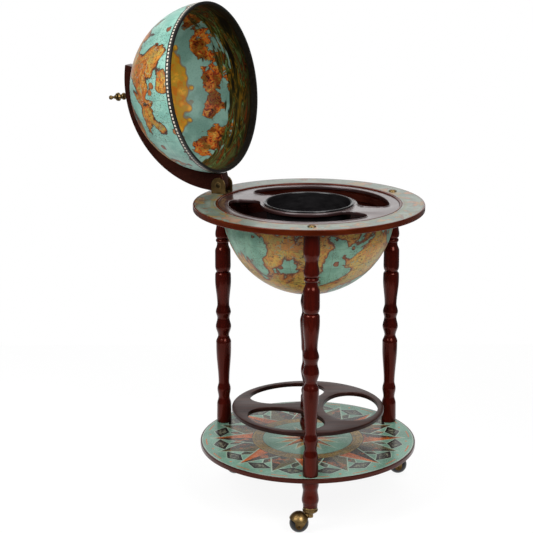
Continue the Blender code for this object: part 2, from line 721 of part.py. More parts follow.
def hinge_bracket(cart):
    """A brass fork: a base plate with two ears whose tops are round about the pin."""
    mount = new_empty("bracket_seat", cart, hinge_point(0, 0, RING_TOP_Z + GAP), (0, 0, HINGE_TURN))
    pin_z = PIN_RISE - GAP
    ear_loop = [(-EAR_R, 0), (EAR_R, 0)] + arc(EAR_R, 0, math.pi, 8, (0, pin_z))
    inside_w = ARM_W + 2 * GAP
    base = box_mesh("hinge_bracket", (2 * EAR_R, inside_w + 2 * EAR_T, BRACKET_BASE_T),
                    (0, 0, BRACKET_BASE_T / 2))
    bracket = new_part("hinge_bracket", base, BRASS, mount)
    for side in (-1, 1):
        name = "ear_near" if side < 0 else "ear_far"
        ear = new_cutter(name, plate_mesh(name, [ear_loop], EAR_T), mount,
                         (0, side * (inside_w + EAR_T) / 2, 0), (POLE, 0, 0))
        boolean(bracket, ear, "UNION")
    drill(bracket, PIN_R + BORE_FIT, inside_w + 2 * EAR_T + 2 * OVERRUN, mount, (0, 0, pin_z),
          (POLE, 0, 0))
    for x, y in screw_places():
        drill(bracket, SCREW_R + BORE_FIT, 2 * BRACKET_BASE_T + OVERRUN, mount, (x, y, 0),
              sides=SCREW_SIDES)

    width = inside_w + 2 * EAR_T + 2 * GAP
    pin = [
        (0, width / 2 + PIN_HEAD_H),
        (PIN_HEAD_R * 0.6, width / 2 + PIN_HEAD_H),
        (PIN_HEAD_R, width / 2 + PIN_HEAD_H / 2),
        (PIN_HEAD_R, width / 2),
        (PIN_R, width / 2),
        (PIN_R, -width / 2),
        (PIN_HEAD_R, -width / 2),
        (PIN_HEAD_R, -width / 2 - PIN_HEAD_H / 2),
        (PIN_HEAD_R * 0.6, -width / 2 - PIN_HEAD_H),
        (0, -width / 2 - PIN_HEAD_H),
    ]
    turned("hinge_pin", pin, SMALL_SIDES, BRASS, mount, (0, 0, pin_z), (POLE, 0, 0))
    screw = bolt_outline(SCREW_R, SCREW_REACH + BRACKET_BASE_T, SCREW_HEAD_R, SCREW_HEAD_H)
    for number, (x, y) in enumerate(screw_places(), 1):
        turned(f"hinge_screw_{number}", screw, SCREW_SIDES, BRASS, mount, (x, y, BRACKET_BASE_T + GAP))


def lid_hinge(cart):
    """The lid's axis: local +X points out from the cart, and the lid is turned open about Y."""
    return new_empty("lid_hinge", cart, hinge_point(0, 0, PIN_Z), (0, LID_OPEN, HINGE_TURN))


def lid(cart):
    hinge = lid_hinge(cart)
    # Middle of the lid's sphere, seen from the pin when the lid is closed
    centre = (-PIN_CIRCLE_R, 0, -PIN_OVER_RIM)
    outline = shell_outline(POLE, FINIAL_SHANK_R + BORE_FIT, LID_FLAT_R)
    turned("lid_shell", outline, GLOBE_SIDES, LID_PRINT, hinge, centre, closed=True)
    band = [
        (globe_reach(BAND_H, LID_FLAT_R) - BAND_T, BAND_H),
        (globe_reach(BAND_H, LID_FLAT_R), BAND_H),
        (globe_reach(0, LID_FLAT_R), 0),
        (globe_reach(0, LID_FLAT_R) - BAND_T, 0),
    ]
    turned("lid_band", band, GLOBE_SIDES, BLACK_TRIM, hinge, centre, closed=True)
    meridian_arm(hinge, centre)
    finial(hinge, centre)


def arm_gap(share):
    return ARM_ROOT_GAP + (ARM_SEAT_GAP - ARM_ROOT_GAP) * min(1.0, share)


def meridian_arm(hinge, centre):
    """A crescent sawn from board, hollow to the lid, from the pin to past the pole."""
    pin_turn = math.atan2(PIN_OVER_RIM, PIN_CIRCLE_R)
    pin_far = math.hypot(PIN_OVER_RIM, PIN_CIRCLE_R)
    root_t = pin_far + ARM_ROOT_R - GLOBE_R - ARM_ROOT_GAP
    outer = []
    inner = []
    heel_z = PIN_OVER_RIM - ARM_ROOT_DROP
    heel_turn = math.asin(heel_z / (GLOBE_R + ARM_ROOT_GAP))
    for i in range(ARM_STEPS + 1):
        turn = pin_turn + (ARM_TIP - pin_turn) * i / ARM_STEPS
        share = (turn - pin_turn) / (POLE - pin_turn)
        left = max(0.0, 1.0 - share)
        thickness = ARM_POLE_T + (root_t - ARM_POLE_T) * left ** ARM_TAPER_POWER
        outer.append(polar(GLOBE_R + arm_gap(share) + thickness, turn)[:2])
        turn = heel_turn + (ARM_TIP - heel_turn) * i / ARM_STEPS
        share = (turn - heel_turn) / (POLE - heel_turn)
        inner.append(polar(GLOBE_R + arm_gap(share), turn)[:2])
    down = -POLE - math.radians(8.0)
    heel = arc(ARM_ROOT_R, pin_turn, down, 6, (PIN_CIRCLE_R, PIN_OVER_RIM))[1:]
    loop = outer[::-1] + heel + inner
    arm = new_part("meridian_arm", plate_mesh("meridian_arm", [loop], ARM_W), MAHOGANY, hinge,
                   centre, (POLE, 0, 0))
    bevel = arm.modifiers.new("edges", "BEVEL")
    bevel.width = ARM_EDGE
    bevel.segments = 1
    bevel.limit_method = "ANGLE"
    bevel.angle_limit = math.radians(60.0)
    drill(arm, PIN_R + BORE_FIT, ARM_W + 2 * OVERRUN, hinge, (0, 0, 0), (POLE, 0, 0))
    middle = GLOBE_R + ARM_POLE_T / 2
    drill(arm, FINIAL_SHANK_R + BORE_FIT, ARM_POLE_T + 2 * OVERRUN, hinge,
          (centre[0], 0, centre[2] + middle))


def finial(hinge, centre):
    """A turned knob whose shank passes through the arm and the lid into a nut inside."""
    seat = GLOBE_R + ARM_SEAT_GAP + ARM_POLE_T + GAP
    nut_top = pole_flat(LID_FLAT_R) - GAP
    shank_end = nut_top - NUT_H - seat
    outline = [(0, FINIAL_LENGTH), (FINIAL_R * 0.24, FINIAL_LENGTH * 0.985)]
    outline += spindle(FINIAL_SHARES, FINIAL_LENGTH, FINIAL_R)
    outline += [(FINIAL_SHANK_R, 0), (FINIAL_SHANK_R, shank_end), (0, shank_end)]
    turned("finial", outline, POST_SIDES, BRASS, hinge, (centre[0], 0, centre[2] + seat))
    nut_z = centre[2] + nut_top - NUT_H / 2
    nut = new_part("finial_nut", rod_mesh("finial_nut", NUT_R, NUT_H, HEX_SIDES), STEEL, hinge,
                   (centre[0], 0, nut_z))
    drill(nut, FINIAL_SHANK_R + BORE_FIT, NUT_H + 2 * OVERRUN, hinge, (centre[0], 0, nut_z))


def dome_mesh(name, radius, rise):
    mesh = bpy.data.meshes.new(name)
    solid = bmesh.new()
    bmesh.ops.create_uvsphere(solid, u_segments=HOOD_SIDES, v_segments=HOOD_ROWS, radius=1)
    bmesh.ops.scale(solid, vec=Vector((radius, radius, rise)), verts=solid.verts)
    solid.to_mesh(mesh)
    solid.free()
    return mesh


def hood_loop():
    """The hood seen along the axle, from the ball's middle: a dome with a tongue over the axle.
    The stem is on the +X side."""
    far = HOOD_R + OVERRUN
    brow = HOOD_RISE * 0.40
    loop = [(-far, HOOD_RISE * 0.50), (-HOOD_R * 0.46, brow), (-TONGUE_R, brow * 0.70)]
    loop += arc(TONGUE_R, math.pi, 2 * math.pi - math.radians(22.0), 5,
                (0, TONGUE_R - TONGUE_DROP))
    loop += [(HOOD_R * 0.52, brow * 0.34), (HOOD_R * 0.82, HOOD_RISE * 0.48)]
    loop += [(far, HOOD_RISE * 0.58), (far, HOOD_RISE + OVERRUN), (-far, HOOD_RISE + OVERRUN)]
    return loop


def hood_mesh():
    """The hood about the ball's middle, with +X back to the stem, for all the casters to share."""
    hood = new_cutter("hood", dome_mesh("caster_hood", HOOD_R, HOOD_RISE), None)
    width = 2 * (HOOD_R + OVERRUN)
    outline = new_cutter("hood_outline", plate_mesh("hood_outline", [hood_loop()], width), None,
                         rotation=(POLE, 0, 0))
    boolean(hood, outline, "INTERSECT")
    lug_top = SOCKET_LOW_Z - GAP
    lug_h = lug_top - LUG_LOW_Z
    lug = new_cutter("hood_lug", rod_mesh("hood_lug", LUG_R, lug_h, POST_SIDES), None,
                     (TRAIL, 0, LUG_LOW_Z + lug_h / 2 - BALL_R))
    boolean(hood, lug, "UNION")
    web_h = LUG_WEB_TOP_Z - LUG_WEB_LOW_Z
    web = new_cutter("hood_web", box_mesh("hood_web", (TRAIL / 2, LUG_WEB_W, web_h)), None,
                     (TRAIL * 0.75, 0, LUG_WEB_LOW_Z + web_h / 2 - BALL_R))
    boolean(hood, web, "UNION")
    room = new_cutter("hood_room", dome_mesh("hood_room", HOOD_R - HOOD_WALL,
                                             HOOD_RISE - HOOD_WALL), None)
    boolean(hood, room, "DIFFERENCE")
    drill(hood, STEM_R + BORE_FIT, 2 * (lug_top + OVERRUN), None, (TRAIL, 0, 0))
    drill(hood, AXLE_R + BORE_FIT, width, None, (0, 0, 0), (POLE, 0, 0))
    return finished_mesh(hood)


def caster(cart, side, hood):
    """A ball caster: socket on the foot, then a stem and hood that swivel, axle and ball."""
    x, y, _ = polar(LEG_CIRCLE_R, LEG_TURNS[side])
    cup_r = FOOT_END_R + SOCKET_CUP_FIT
    bore_r = STEM_R + BORE_FIT
    cup_z = FOOT_LOW_Z - GAP
    bulge_z = (SOCKET_LOW_Z + SOCKET_TOP_Z) / 2
    socket = [
        (cup_r, SOCKET_TOP_Z),
        (SOCKET_LIP_R, SOCKET_TOP_Z),
        (SOCKET_R, bulge_z),
        (SOCKET_BASE_R, SOCKET_LOW_Z),
        (bore_r, SOCKET_LOW_Z),
        (bore_r, cup_z),
        (cup_r, cup_z),
    ]
    turned(f"caster_socket_{side}", socket, POST_SIDES, BRASS, cart, (x, y, 0), closed=True)

    swivel = new_empty(f"swivel_{side}", cart, (x, y, 0), (0, 0, TRAIL_TURNS[side]))
    stem_h = STEM_TOP_Z - LUG_LOW_Z
    new_part(f"caster_stem_{side}", rod_mesh(f"caster_stem_{side}", STEM_R, stem_h), STEEL,
             swivel, (0, 0, LUG_LOW_Z + stem_h / 2))

    # The ball's middle, with +X back to the stem
    wheel = new_empty(f"wheel_{side}", swivel, (TRAIL, 0, BALL_R), (0, 0, math.pi))
    new_part(f"caster_hood_{side}", hood, BRASS, wheel)
    axle_length = 2 * (HOOD_R - AXLE_INSET)
    new_part(f"caster_axle_{side}", rod_mesh(f"caster_axle_{side}", AXLE_R, axle_length), STEEL,
             wheel, rotation=(POLE, 0, 0))
    flat = math.asin(BALL_FLAT_Y / BALL_R)
    ball_bore = AXLE_R + BORE_FIT
    ball = [(ball_bore, BALL_FLAT_Y)]
    ball += arc(BALL_R, flat, -flat, BALL_ARC_STEPS)
    ball += [(ball_bore, -BALL_FLAT_Y)]
    turned(f"caster_ball_{side}", ball, BALL_SIDES, BALL_PLASTIC, wheel, rotation=(POLE, 0, 0),
           closed=True)


def stand_over_origin(cart):
    """Put the origin on the floor, below the middle of the open cart's box."""
    bpy.context.view_layer.update()
    depsgraph = bpy.context.evaluated_depsgraph_get()
    low = Vector((math.inf, math.inf))
    high = -low
    for part in CART.objects:
        if part.type != "MESH":
            continue
        solid = part.evaluated_get(depsgraph)
        mesh = solid.to_mesh()
        for vertex in mesh.vertices:
            point = solid.matrix_world @ vertex.co
            for axis in (0, 1):
                low[axis] = min(low[axis], point[axis])
                high[axis] = max(high[axis], point[axis])
        solid.to_mesh_clear()
    middle = (low + high) / 2
    steps = [round(value / ORIGIN_STEP) for value in middle]
    cart.location = (-steps[0] * ORIGIN_STEP, -steps[1] * ORIGIN_STEP, 0)


def shade_parts():
    for part in CART.objects:
        if part.type == "MESH":
            part.data.shade_smooth()
            part.data.set_sharp_from_angle(angle=math.radians(35.0))


def build():
    cart = new_empty("cart", None)
    table_ring(cart)
    tray_plate(cart)
    lower_bowl(cart)
    bowl_hoop(cart)
    glass_shelf(cart)
    ice_bucket(cart)
    hood = hood_mesh()
    for side in LEG_TURNS:
        leg(cart, side)
        foot(cart, side)
        caster(cart, side, hood)
    bolt_cap(cart, "front")
    bolt_cap(cart, "right")
    bottom_shelf(cart)
    column(cart)
    bottle_rack(cart)
    hinge_bracket(cart)
    lid(cart)
    shade_parts()
    stand_over_origin(cart)


build()
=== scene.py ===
# Globe bar cart: the finished look of every piece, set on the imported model.
# Lengths are in metres, +Z is up and the floor is at z = 0. The lid stands open at rest.

import json
from math import acos, asin, atan2, copysign, cos, hypot, pi, radians, sin, sqrt

import bmesh
import bpy
from mathutils import Matrix, Vector


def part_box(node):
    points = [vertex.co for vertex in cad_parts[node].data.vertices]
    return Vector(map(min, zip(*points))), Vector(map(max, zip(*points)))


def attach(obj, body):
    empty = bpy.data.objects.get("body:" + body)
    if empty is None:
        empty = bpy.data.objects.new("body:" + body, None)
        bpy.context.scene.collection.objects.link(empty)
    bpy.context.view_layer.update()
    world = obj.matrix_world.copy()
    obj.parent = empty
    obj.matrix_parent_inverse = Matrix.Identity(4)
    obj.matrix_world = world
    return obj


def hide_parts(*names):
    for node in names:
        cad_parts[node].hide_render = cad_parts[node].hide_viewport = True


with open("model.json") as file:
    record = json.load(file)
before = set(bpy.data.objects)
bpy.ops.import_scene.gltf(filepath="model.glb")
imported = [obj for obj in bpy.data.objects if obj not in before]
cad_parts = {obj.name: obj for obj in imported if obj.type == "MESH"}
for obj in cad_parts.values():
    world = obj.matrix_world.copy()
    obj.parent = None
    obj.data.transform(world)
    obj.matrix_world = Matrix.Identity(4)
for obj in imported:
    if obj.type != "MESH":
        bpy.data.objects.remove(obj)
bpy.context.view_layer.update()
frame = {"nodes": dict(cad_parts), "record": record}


def low(node):
    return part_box(node)[0]


def high(node):
    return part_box(node)[1]


def middle(node):
    return (low(node) + high(node)) / 2


def half_width(node):
    return (high(node).x - low(node).x) / 2


def height_of(node):
    return high(node).z - low(node).z


def move(x, y, z):
    return Matrix.Translation((x, y, z))


def spin(turn, axis="Z"):
    return Matrix.Rotation(turn, 4, axis)


def sized(x, y, z=1):
    return Matrix.Diagonal((x, y, z, 1))


QUARTER = pi / 2
TURN = 2 * pi
FLAT = Matrix.Identity(4)
UPRIGHT = spin(QUARTER, "X")

# Small sizes
GAP = 0.0003             # air between two pieces
LID_LIFT = 0.0005        # air between the closed lid and the tray
EDGE = 0.0008            # the usual rounding of a worked edge
BOLT_HOLE_R = 0.0041     # through the bowl and the bottom shelf
TINY = 0.00001
SHARP = radians(38)      # faces that meet at a larger angle keep a crisp edge

# Places and sizes that the frame gives
CART = Vector((middle("table_ring").x, middle("table_ring").y, 0))
RING_R = half_width("table_ring")
RING_TOP_Z = high("table_ring").z
RING_LOW_Z = low("table_ring").z
TRAY_R = half_width("tray_plate")
TRAY_TOP_Z = high("tray_plate").z
TRAY_LOW_Z = low("tray_plate").z
GLOBE_R = half_width("lower_bowl")
BOWL_Z = high("lower_bowl").z
SHELF_R = half_width("bottom_shelf")
SHELF_TOP_Z = high("bottom_shelf").z
SHELF_LOW_Z = low("bottom_shelf").z
JOINTS = {joint["name"]: joint for joint in frame["record"]["behaviour"]["joints"]}
LID_JOINT = JOINTS["lid_hinge"]
HINGE = Vector(LID_JOINT["pos_m"])
HINGE_AXIS = Vector(LID_JOINT["axis"])
HINGE_TURN = atan2(HINGE_AXIS.x, -HINGE_AXIS.y)
LID_OPEN = radians(LID_JOINT["range_deg"][1])
PIN_CIRCLE_R = (HINGE - CART).to_2d().length
PIN_OVER_RIM = HINGE.z - TRAY_TOP_Z - LID_LIFT
LID_FRAME = (Matrix.Translation(HINGE) @ spin(HINGE_TURN) @ spin(LID_OPEN, "Y")
             @ move(-PIN_CIRCLE_R, 0, -PIN_OVER_RIM))
SIDES = ("front", "right", "left")

# Facets round a full turn
WIDE_SIDES = 192
GLOBE_SIDES = 144
DOME_SIDES = 64
BALL_SIDES = 56
POST_SIDES = 48
SMALL_SIDES = 32

# Facets along an outline
GLOBE_ROWS = 48
DOME_ROWS = 32
TURNED_ROWS = 10         # between two points of a turned outline
LONG_ARC_STEPS = 20
ARC_STEPS = 10
NOSE_STEPS = 6
CORNER_STEPS = 4


# Node graphs

class Value:
    """What a node gives. Reckoning with it makes Math nodes."""

    def __init__(self, graph, socket):
        self.graph = graph
        self.socket = socket

    def __add__(self, other):
        return self.graph.math("ADD", self, other)

    def __sub__(self, other):
        return self.graph.math("SUBTRACT", self, other)

    def __rsub__(self, other):
        return self.graph.math("SUBTRACT", other, self)

    def __mul__(self, other):
        return self.graph.math("MULTIPLY", self, other)

    def __abs__(self):
        return self.graph.math("ABSOLUTE", self)


# Short names for the shader's sockets
SOCKETS = {"metal": "Metallic", "tint": "Specular Tint", "shine": "Specular IOR Level",
           "coat": "Coat Weight", "coat_rough": "Coat Roughness"}


class Graph:
    """A short way to write nodes. An input takes a number, a tuple or a Value."""

    def __init__(self, owner):
        owner.use_nodes = True
        self.owner = owner
        self.tree = owner.node_tree

    def feed(self, node, inputs):
        for name, value in inputs.items():
            socket = node.inputs[name]
            if isinstance(value, Value):
                self.tree.links.new(value.socket, socket)
            elif socket.type == "RGBA":
                socket.default_value = (*value, 1)
            else:
                socket.default_value = value

    def node(self, kind, inputs=(), out=0, **settings):
        node = self.tree.nodes.new("ShaderNode" + kind)
        for name, value in settings.items():
            setattr(node, name, value)
        self.feed(node, dict(inputs))
        return Value(self, node.outputs[out])

    def math(self, operation, first, second=0):
        return self.node("Math", {0: first, 1: second}, operation=operation)

    def most(self, first, second):
        return self.math("MAXIMUM", first, second)

    def fall(self, value, full, none):
        """1 up to full, 0 past none, eased between. With full past none it rises instead."""
        return self.node("MapRange", {0: value, 1: full, 2: none, 3: 1, 4: 0},
                         interpolation_type="SMOOTHSTEP")

    def near(self, value, level, full, none):
        """1 within full of a level, 0 past none from it."""
        return self.fall(abs(value - level), full, none)

    def line(self, value, level, half_width):
        """1 where value is at the level, with soft edges."""
        return self.near(value, level, half_width * 0.7, half_width * 1.3)

    def vector(self, operation, first, second=(0, 0, 0)):
        return self.node("VectorMath", {0: first, 1: second}, operation=operation)

    def stretch(self, place, scales):
        return self.vector("MULTIPLY", place, scales)

    def shift(self, place, way):
        return self.vector("ADD", place, way)

    def split(self, place):
        parts = self.node("SeparateXYZ", {0: place}).socket.node.outputs
        return [Value(self, part) for part in parts]

    def join(self, x, y, z):
        return self.node("CombineXYZ", {0: x, 1: y, 2: z})

    def noise(self, place, scale, detail=3, roughness=0.5, distortion=0):
        return self.node("TexNoise", {"Vector": place, "Scale": scale, "Detail": detail,
                                      "Roughness": roughness, "Distortion": distortion})

    def cells(self, place, scale, output="Distance", feature="F1"):
        return self.node("TexVoronoi", {"Vector": place, "Scale": scale}, output, feature=feature)

    def ramp(self, value, *stops, interpolation="LINEAR"):
        result = self.node("ValToRGB", {0: value})
        scale = result.socket.node.color_ramp
        scale.interpolation = interpolation
        while len(scale.elements) < len(stops):
            scale.elements.new(0.5)
        for element, (position, colour) in zip(scale.elements, stops):
            element.position = position
            element.color = (*colour, 1)
        return result

    def mix(self, amount, first, second, blend="MIX"):
        return self.node("Mix", {0: amount, 6: first, 7: second}, 2, data_type="RGBA",
                         blend_type=blend)

    def dim(self, amount, colour, tint):
        """The colour multiplied by a tint, where amount says."""
        return self.mix(amount, colour, tint, "MULTIPLY")

    def paint(self, under, *coats):
        """Lay colours over each other, each with its own mask."""
        for amount, colour in coats:
            under = self.mix(amount, under, colour)
        return under

    def finish(self, colour, roughness, height=None, depth=0, **settings):
        """Feed the shader. Constants go straight to its own sockets."""
        inputs = {"Base Color": colour, "Roughness": roughness}
        if height:
            inputs["Normal"] = self.node("Bump", {"Height": height, "Distance": depth,
                                                  "Strength": 1})
        inputs.update({SOCKETS[name]: value for name, value in settings.items()})
        self.feed(self.tree.nodes["Principled BSDF"], inputs)
        return self.owner

    def turn_about(self, x, y):
        return self.math("ARCTAN2", y, x)

    def polar(self):
        """Distance from the object's Z axis, and the turn about it in radians."""
        x, y, _ = self.split(self.place)
        return self.math("SQRT", x * x + y * y), self.turn_about(x, y)

    def beat(self, value, count, shift=0):
        """How far a turn lies from the nearest of count even spokes: 0 on it, 0.5 between two."""
        return abs(self.math("FRACT", value * (count / TURN) + shift) - 0.5)


def surface(name, frame_matrix=None):
    """A new material's graph, and the place on it as seen from its object or from that frame."""
    g = Graph(bpy.data.materials.new(name))
    g.place = g.node("TexCoord", out="Object")
    if frame_matrix:
        g.place = g.node("Mapping", {
            "Vector": g.place, "Location": frame_matrix.to_translation(),
            "Rotation": frame_matrix.to_euler()}, vector_type="TEXTURE")
    return g


# Finishes

def mahogany(name, grain=(58, 58, 4.5), deep=(0.021, 0.0014, 0.0008), warm=(0.06, 0.0042, 0.002),
             frame_matrix=None):
    """Red stained wood under gloss lacquer that carries the stain, its grain along local Z."""
    g = surface(name, frame_matrix)
    along = g.stretch(g.place, grain)
    figure = g.noise(along, 1, 4, 0.6, 0.6)
    pores = g.noise(g.stretch(along, (4, 4, 2.5)), 1, 2, 0.7)
    cloud = g.noise(g.place, 14, 2)
    colour = g.ramp(figure, (0.24, deep), (0.78, warm))
    colour = g.mix(g.fall(pores, 0.34, 0.44) * 0.28, colour, (0.01, 0.001, 0.0008))
    colour = g.dim(g.fall(cloud, 0.65, 0.4), colour, (0.72, 0.62, 0.6))
    return g.finish(colour, pores * 0.12 + 0.11, pores, 0.00008, tint=(1, 0.34, 0.26), shine=0.42)


def dark_wood(name, deep=(0.012, 0.0034, 0.0024), warm=(0.05, 0.016, 0.01), coat=0.12,
              tint=(1, 0.62, 0.58), shine=0.18):
    """Near-black mahogany board under satin lacquer, with painted shade on its upright faces and the
    walls of its holes.
    """
    g = surface(name)
    along = g.stretch(g.place, (6, 70, 70))
    figure = g.noise(along, 1, 4, 0.6, 0.4)
    pores = g.noise(g.stretch(along, (3, 4, 4)), 1, 2, 0.7)
    colour = g.ramp(figure, (0.32, deep), (0.7, warm))
    # Painted shade: faces that stand upright, such as edges and the walls of the holes, are darkened
    side = g.fall(abs(g.split(g.node("TexCoord", out="Normal"))[2]), 0.35, 0.75)
    colour = g.dim(side, colour, (0.45, 0.32, 0.3))
    return g.finish(colour, pores * 0.16 + 0.34, pores, 0.0001, coat=coat, coat_rough=0.2,
                    tint=tint, shine=shine)


def brass(name, bright=(0.29, 0.19, 0.075), dark=(0.11, 0.068, 0.026), painted_shade_z=None):
    """Antique brass: rubbed bright where it is touched, brown patina elsewhere, and painted shade below
    an optional height.
    """
    g = surface(name)
    spots = g.noise(g.place, 900, 3, 0.6)
    mask = g.noise(g.place, 55, 4, 0.55) * 0.82 + spots * 0.18
    colour = g.ramp(mask, (0.32, dark), (0.62, bright))
    # Painted shade and painted reflection: darker below the given height, for the dark ball and shadowed
    # floor
    if painted_shade_z is not None:
        painted_low_shade = g.fall(g.split(g.place)[2], painted_shade_z - 0.004, painted_shade_z + 0.004)
        colour = g.dim(painted_low_shade, colour, (0.42, 0.36, 0.3))
    rough = g.ramp(mask, (0.35, (0.46,) * 3), (0.62, (0.33,) * 3))
    return g.finish(colour, rough, spots, 0.00004, metal=1)


def steel(name):
    """Zinc-plated steel with a faint turned finish."""
    g = surface(name)
    rings = g.noise(g.stretch(g.place, (40, 40, 1400)), 1, 2)
    colour = g.ramp(g.noise(g.place, 180, 4), (0.3, (0.3, 0.3, 0.31)), (0.7, (0.52, 0.52, 0.53)))
    return g.finish(colour, rings * 0.22 + 0.24, rings, 0.00003, metal=1)


def black_plastic(name):
    """Polished black moulding with a faint orange-peel skin."""
    g = surface(name)
    scuff = g.noise(g.stretch(g.place, (30, 30, 90)), 1, 5, 0.7)
    colour = g.ramp(scuff, (0.35, (0.006, 0.0055, 0.006)), (0.75, (0.016, 0.015, 0.016)))
    rough = g.ramp(scuff, (0.35, (0.12,) * 3), (0.7, (0.24,) * 3))
    return g.finish(colour, rough, g.noise(g.place, 260, 2), 0.00006)


def ball_plastic(name):
    """Black nylon tread, scuffed dull where it rolls."""
    g = surface(name)
    scuff = g.noise(g.place, 160, 6, 0.7)
    colour = g.ramp(scuff, (0.4, (0.004, 0.004, 0.0045)), (0.72, (0.016, 0.015, 0.014)))
    return g.finish(colour, scuff * 0.2 + 0.24, g.noise(g.place, 700, 2), 0.00005, shine=0.3)


def trim(name):
    """Dark satin edging tape."""
    g = surface(name)
    wear = g.noise(g.place, 220, 4)
    colour = g.ramp(wear, (0.35, (0.004, 0.0035, 0.003)), (0.75, (0.012, 0.01, 0.008)))
    return g.finish(colour, wear * 0.2 + 0.26, wear, 0.00008, shine=0.22)


def rim_grey(name):
    """The dark, polished edge of the globe's shell."""
    g = surface(name)
    wear = g.noise(g.place, 300, 4)
    colour = g.ramp(wear, (0.3, (0.006, 0.006, 0.0054)), (0.75, (0.018, 0.017, 0.015)))
    return g.finish(colour, wear * 0.2 + 0.2, shine=0.24)


# Prints

INK = (0.02, 0.015, 0.012)
SEPIA = (0.045, 0.018, 0.012)
RUST = (0.3, 0.075, 0.022)


def map_print(name, seed, sea, deep_sea, shore, fields, land_level, coast_ink, frame_matrix=None):
    """A generic old-style map on half a globe: seas, land with coloured borders, fine strokes."""
    g = surface(name, frame_matrix)
    unit = g.vector("NORMALIZE", g.place)
    spot = g.shift(unit, seed)
    x, y, z = g.split(unit)
    coast = g.noise(spot, 2.1, 6, 0.5, 0.55) - land_level

    # Open water: mottling, short wave strokes, clusters of fine specks and small islands
    mottle = g.noise(spot, 7, 4, 0.6)
    grain = g.noise(spot, 90, 2)
    water = g.mix(g.fall(mottle, 0.62, 0.38), sea, deep_sea)
    water = g.mix(g.fall(abs(coast), 0.01, 0.045) * 0.45, water, deep_sea)
    water = g.dim(g.fall(grain, 0.7, 0.45), water, (0.82, 0.86, 0.84))
    crowd = g.fall(g.noise(spot, 3.2, 2), 0.54, 0.4)
    specks = g.fall(g.cells(spot, 52), 0.22, 0.3)
    strokes = g.fall(g.cells(g.stretch(spot, (1, 1, 3)), 20), 0.16, 0.23)
    flecks = g.most(specks, strokes) * g.fall(crowd, 0.85, 0.3)
    isles = g.cells(g.shift(spot, (0.37, 0.11, 0.53)), 5.2) + (g.noise(spot, 19, 4) - 0.5) * 0.34
    isle_fill = g.mix(g.fall(mottle, 0.45, 0.55), (0.34, 0.12, 0.035), (0.22, 0.065, 0.03))
    water = g.paint(water, (flecks * 0.85, (0.045, 0.038, 0.026)),
                    (g.fall(isles, 0.165, 0.175), isle_fill), (g.line(isles, 0.178, 0.016), SEPIA))

    # Land: provinces, a warm wash along the coast, hatched hills and rivers
    bent = g.noise(spot, 9)
    bent = g.shift(spot, g.join(bent, bent, bent))
    ground = g.ramp(g.split(g.cells(bent, 7.5, "Color"))[0], *zip((0, 0.28, 0.52, 0.78), fields),
                    interpolation="CONSTANT")
    blotch = g.noise(spot, 15, 5, 0.65)
    ground = g.mix(g.fall(blotch, 0.6, 0.42) * 0.45, ground, fields[0])
    hills = g.noise(g.stretch(spot, (1, 1, 2.4)), 26, 3, 0.62, 0.8)
    hatch = g.fall(hills, 0.575, 0.535) * g.fall(blotch, 0.54, 0.42)
    border = g.fall(g.cells(bent, 7.5, "Distance", "DISTANCE_TO_EDGE"), 0.014, 0.03)
    river = g.line(g.noise(spot, 4.6, 5), 0.5, 0.006)
    ground = g.paint(ground, (g.fall(coast, 0.012, 0.052) * 0.85, shore), (border * 0.55, RUST),
                     (river * 0.7, deep_sea), (hatch * 0.85, (0.07, 0.026, 0.01)))

    colour = g.mix(g.fall(coast, 0.003, 0), water, ground)
    colour = g.mix(g.line(coast, 0.003, 0.01) * 0.92, colour, coast_ink)

    # Thin circles of the grid, every 15 degrees
    turn = g.turn_about(x, y)
    rise = g.math("ARCSINE", z)
    wide = g.math("SQRT", 1.0001 - z * z)
    grid = g.most(g.fall(g.beat(turn, 24, 0.5) * wide, 0.007, 0.016),
                  g.fall(g.beat(rise, 24, 0.5), 0.007, 0.016))
    colour = g.mix(grid * 0.42, colour, (0.09, 0.07, 0.05))

    if frame_matrix:
        # A dark rim band with a row of light dashes
        white = g.fall(g.beat(turn, 142), 0.27, 0.33) * g.near(abs(rise), 0.034, 0.0085, 0.011)
        band = g.fall(abs(rise), 0.0585, 0.0605)
        colour = g.paint(colour, (band, (0.014, 0.012, 0.011)), (white, (0.66, 0.6, 0.5)))
    return g.finish(colour, grain * 0.14 + 0.3, g.noise(spot, 45, 2), 0.0001, coat=0.05,
                    coat_rough=0.24, shine=0.36)


TUFT_SEED = (2.3, 0.4, 1.1)


